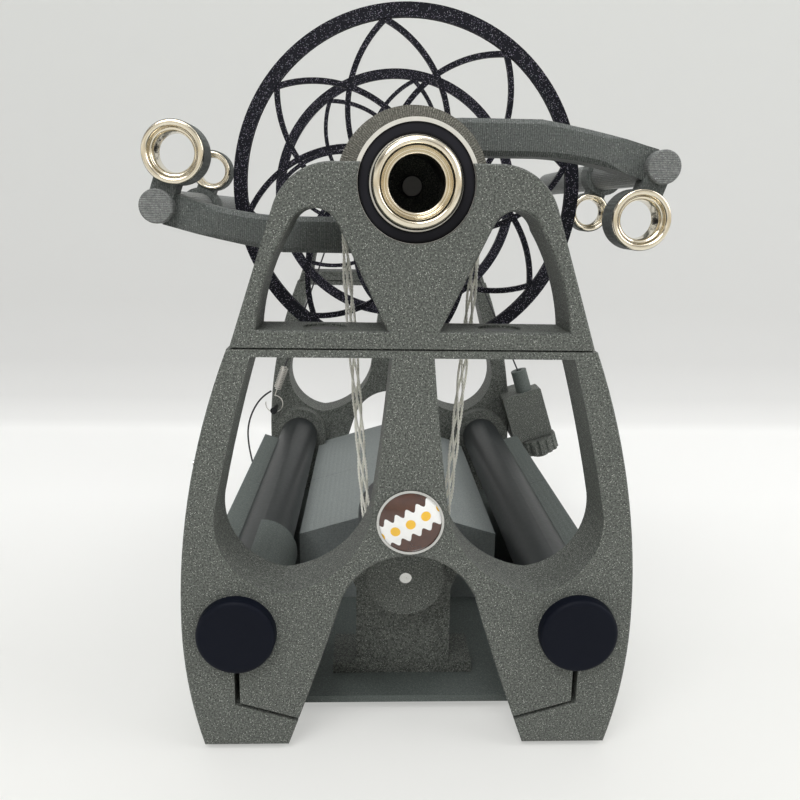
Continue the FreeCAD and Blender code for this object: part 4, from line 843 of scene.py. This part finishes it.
def backdrop_grid():
    """Profile of floor, quarter circle and wall, carried from left to right."""
    bend = np.linspace(0, np.pi / 2, 24)
    floor = np.stack([np.linspace(SHEET_NEAR, WALL_Y - BEND_R, 30), np.full(30, FLOOR_Z)], 1)
    curve = np.stack([WALL_Y - BEND_R + BEND_R * np.sin(bend), FLOOR_Z + BEND_R * (1 - np.cos(bend))], 1)
    wall = np.stack([np.full(12, WALL_Y), np.linspace(FLOOR_Z + BEND_R, SHEET_TOP, 12)], 1)
    profile = np.concatenate([floor, curve[1:], wall[1:]])
    x = np.linspace(-SHEET_HALF, SHEET_HALF, SHEET_COLUMNS)
    rows = len(profile)
    grid = np.empty((rows, SHEET_COLUMNS, 3))
    grid[:, :, 0] = x
    grid[:, :, 1:] = profile[:, None]
    i, j = np.meshgrid(np.arange(rows - 1), np.arange(SHEET_COLUMNS - 1), indexing="ij")
    first = i * SHEET_COLUMNS + j
    quads = np.stack([first, first + 1, first + SHEET_COLUMNS + 1, first + SHEET_COLUMNS], -1)
    return grid.reshape(-1, 3), quads.reshape(-1, 4)


def backdrop_finish():
    """Matt paper that darkens up the wall; half of what the camera sees of it is its own glow."""
    finish = Finish("backdrop_paper")
    _, depth, height = finish.axes(finish.mm)
    rise = finish.maths("DIVIDE", finish.maths("SUBTRACT", height, FLOOR_Z), WALL_RAMP)
    near = finish.maths("DIVIDE", finish.maths("SUBTRACT", depth, TABLE_START), TABLE_RAMP)
    # Painted shade: the table's tone dips to its darkest a little behind the front plate, where the spinner
    # stands and shades it.
    table_with_painted_shade = finish.ramp(near, (0.0, tone(241, 241, 237)), (0.45, tone(236, 236, 233)),
                        (0.8, tone(247, 247, 245)))
    wall = finish.ramp(rise, (0.0, tone(249, 249, 247)), (0.004, tone(243, 243, 241)),
                       (0.012, tone(234, 234, 232)), (0.05, tone(222, 222, 220)),
                       (0.13, tone(214, 214, 212)), (1.0, tone(214, 215, 212)))
    shade = finish.mix(finish.ramp(rise, (0.0, 0.0), (0.004, 1.0)), table_with_painted_shade, wall)
    finish.set(Base_Color=shade, Roughness=0.9)
    glow = finish.add("Emission", {"Color": shade, "Strength": 1.0}).outputs[0]
    ray = finish.add("LightPath").outputs
    mirrored = finish.maths("MAXIMUM", ray["Is Glossy Ray"], ray["Is Transmission Ray"])
    share = finish.maths("MULTIPLY", finish.maths("MAXIMUM", ray["Is Camera Ray"], mirrored), GLOW_SHARE)
    front = finish.add("MixShader", {0: share, 1: finish.shader.outputs[0], 2: glow}).outputs[0]
    behind = finish.add("NewGeometry").outputs["Backfacing"]
    clear = finish.add("BsdfTransparent").outputs[0]
    sided = finish.add("MixShader", {0: behind, 1: front, 2: clear}).outputs[0]
    finish.feed(finish.output.inputs["Surface"], sided)
    return finish.material


def backdrop():
    """The sheet as a smooth mesh on the stage, which is no part of the spinner."""
    points, quads = backdrop_grid()
    mesh = bpy.data.meshes.new("backdrop")
    mesh.from_pydata((points * MM).tolist(), [], quads.tolist())
    mesh.polygons.foreach_set("use_smooth", np.ones(len(mesh.polygons), bool))
    mesh.materials.append(backdrop_finish())
    sheet = bpy.data.objects.new("backdrop", mesh)
    bpy.context.collection.objects.link(sheet)
    print("backdrop faces:", len(mesh.polygons))


backdrop()

# %% World
AMBIENT = 0.36
ROOM = [(0.0, tone(40, 33, 26)), (0.41, tone(92, 76, 56)), (0.485, tone(226, 216, 196)),
        (0.60, tone(255, 254, 250)), (0.68, tone(196, 192, 184)), (0.76, tone(96, 92, 88)),
        (0.86, tone(206, 205, 202)), (1.0, tone(250, 250, 248))]     # from straight down to straight up


def studio_world():
    """Even white light; only mirrors see the bands of a room, by how steeply their rays go up."""
    world = bpy.data.worlds.new("studio")
    bpy.context.scene.world = world
    world.use_nodes = True
    sky = Graph(world.node_tree)
    ray = sky.add("LightPath").outputs
    mirrored = sky.maths("MAXIMUM", ray["Is Glossy Ray"], ray["Is Transmission Ray"])
    upwards = sky.axes(sky.add("TexCoord").outputs["Generated"])["Z"]
    room = sky.ramp(sky.maths("MULTIPLY_ADD", upwards, 0.5, 0.5), *ROOM)
    ambient = sky.add("Background", {"Color": (1.0, 1.0, 1.0, 1.0), "Strength": AMBIENT}).outputs[0]
    shown = sky.add("Background", {"Color": room, "Strength": 1.0}).outputs[0]
    blend = sky.add("MixShader", {0: mirrored, 1: ambient, 2: shown}).outputs[0]
    sky.add("OutputWorld", {"Surface": blend})


studio_world()
print("world ready")

# %% Lamps
MIDDLE = (0.0, 0.12, -0.08)


def lamp(name, place, size, watts):
    """Round white lamp of a size in metres that looks at the middle of the spinner."""
    data = bpy.data.lights.new(name, "AREA")
    data.shape = "DISK"
    data.size = size
    data.energy = watts
    light = bpy.data.objects.new(name, data)
    bpy.context.collection.objects.link(light)
    light.location = place
    light.rotation_mode = "QUATERNION"
    light.rotation_quaternion = (Vector(MIDDLE) - Vector(place)).to_track_quat("-Z", "Y")


lamp("key_lamp", (-0.35, -0.75, 0.95), 0.9, 10.5)
lamp("side_lamp", (0.95, -0.25, 0.55), 0.8, 4.6)
lamp("top_lamp", (0.0, 0.30, 1.20), 1.0, 6.0)
print("lamps ready")
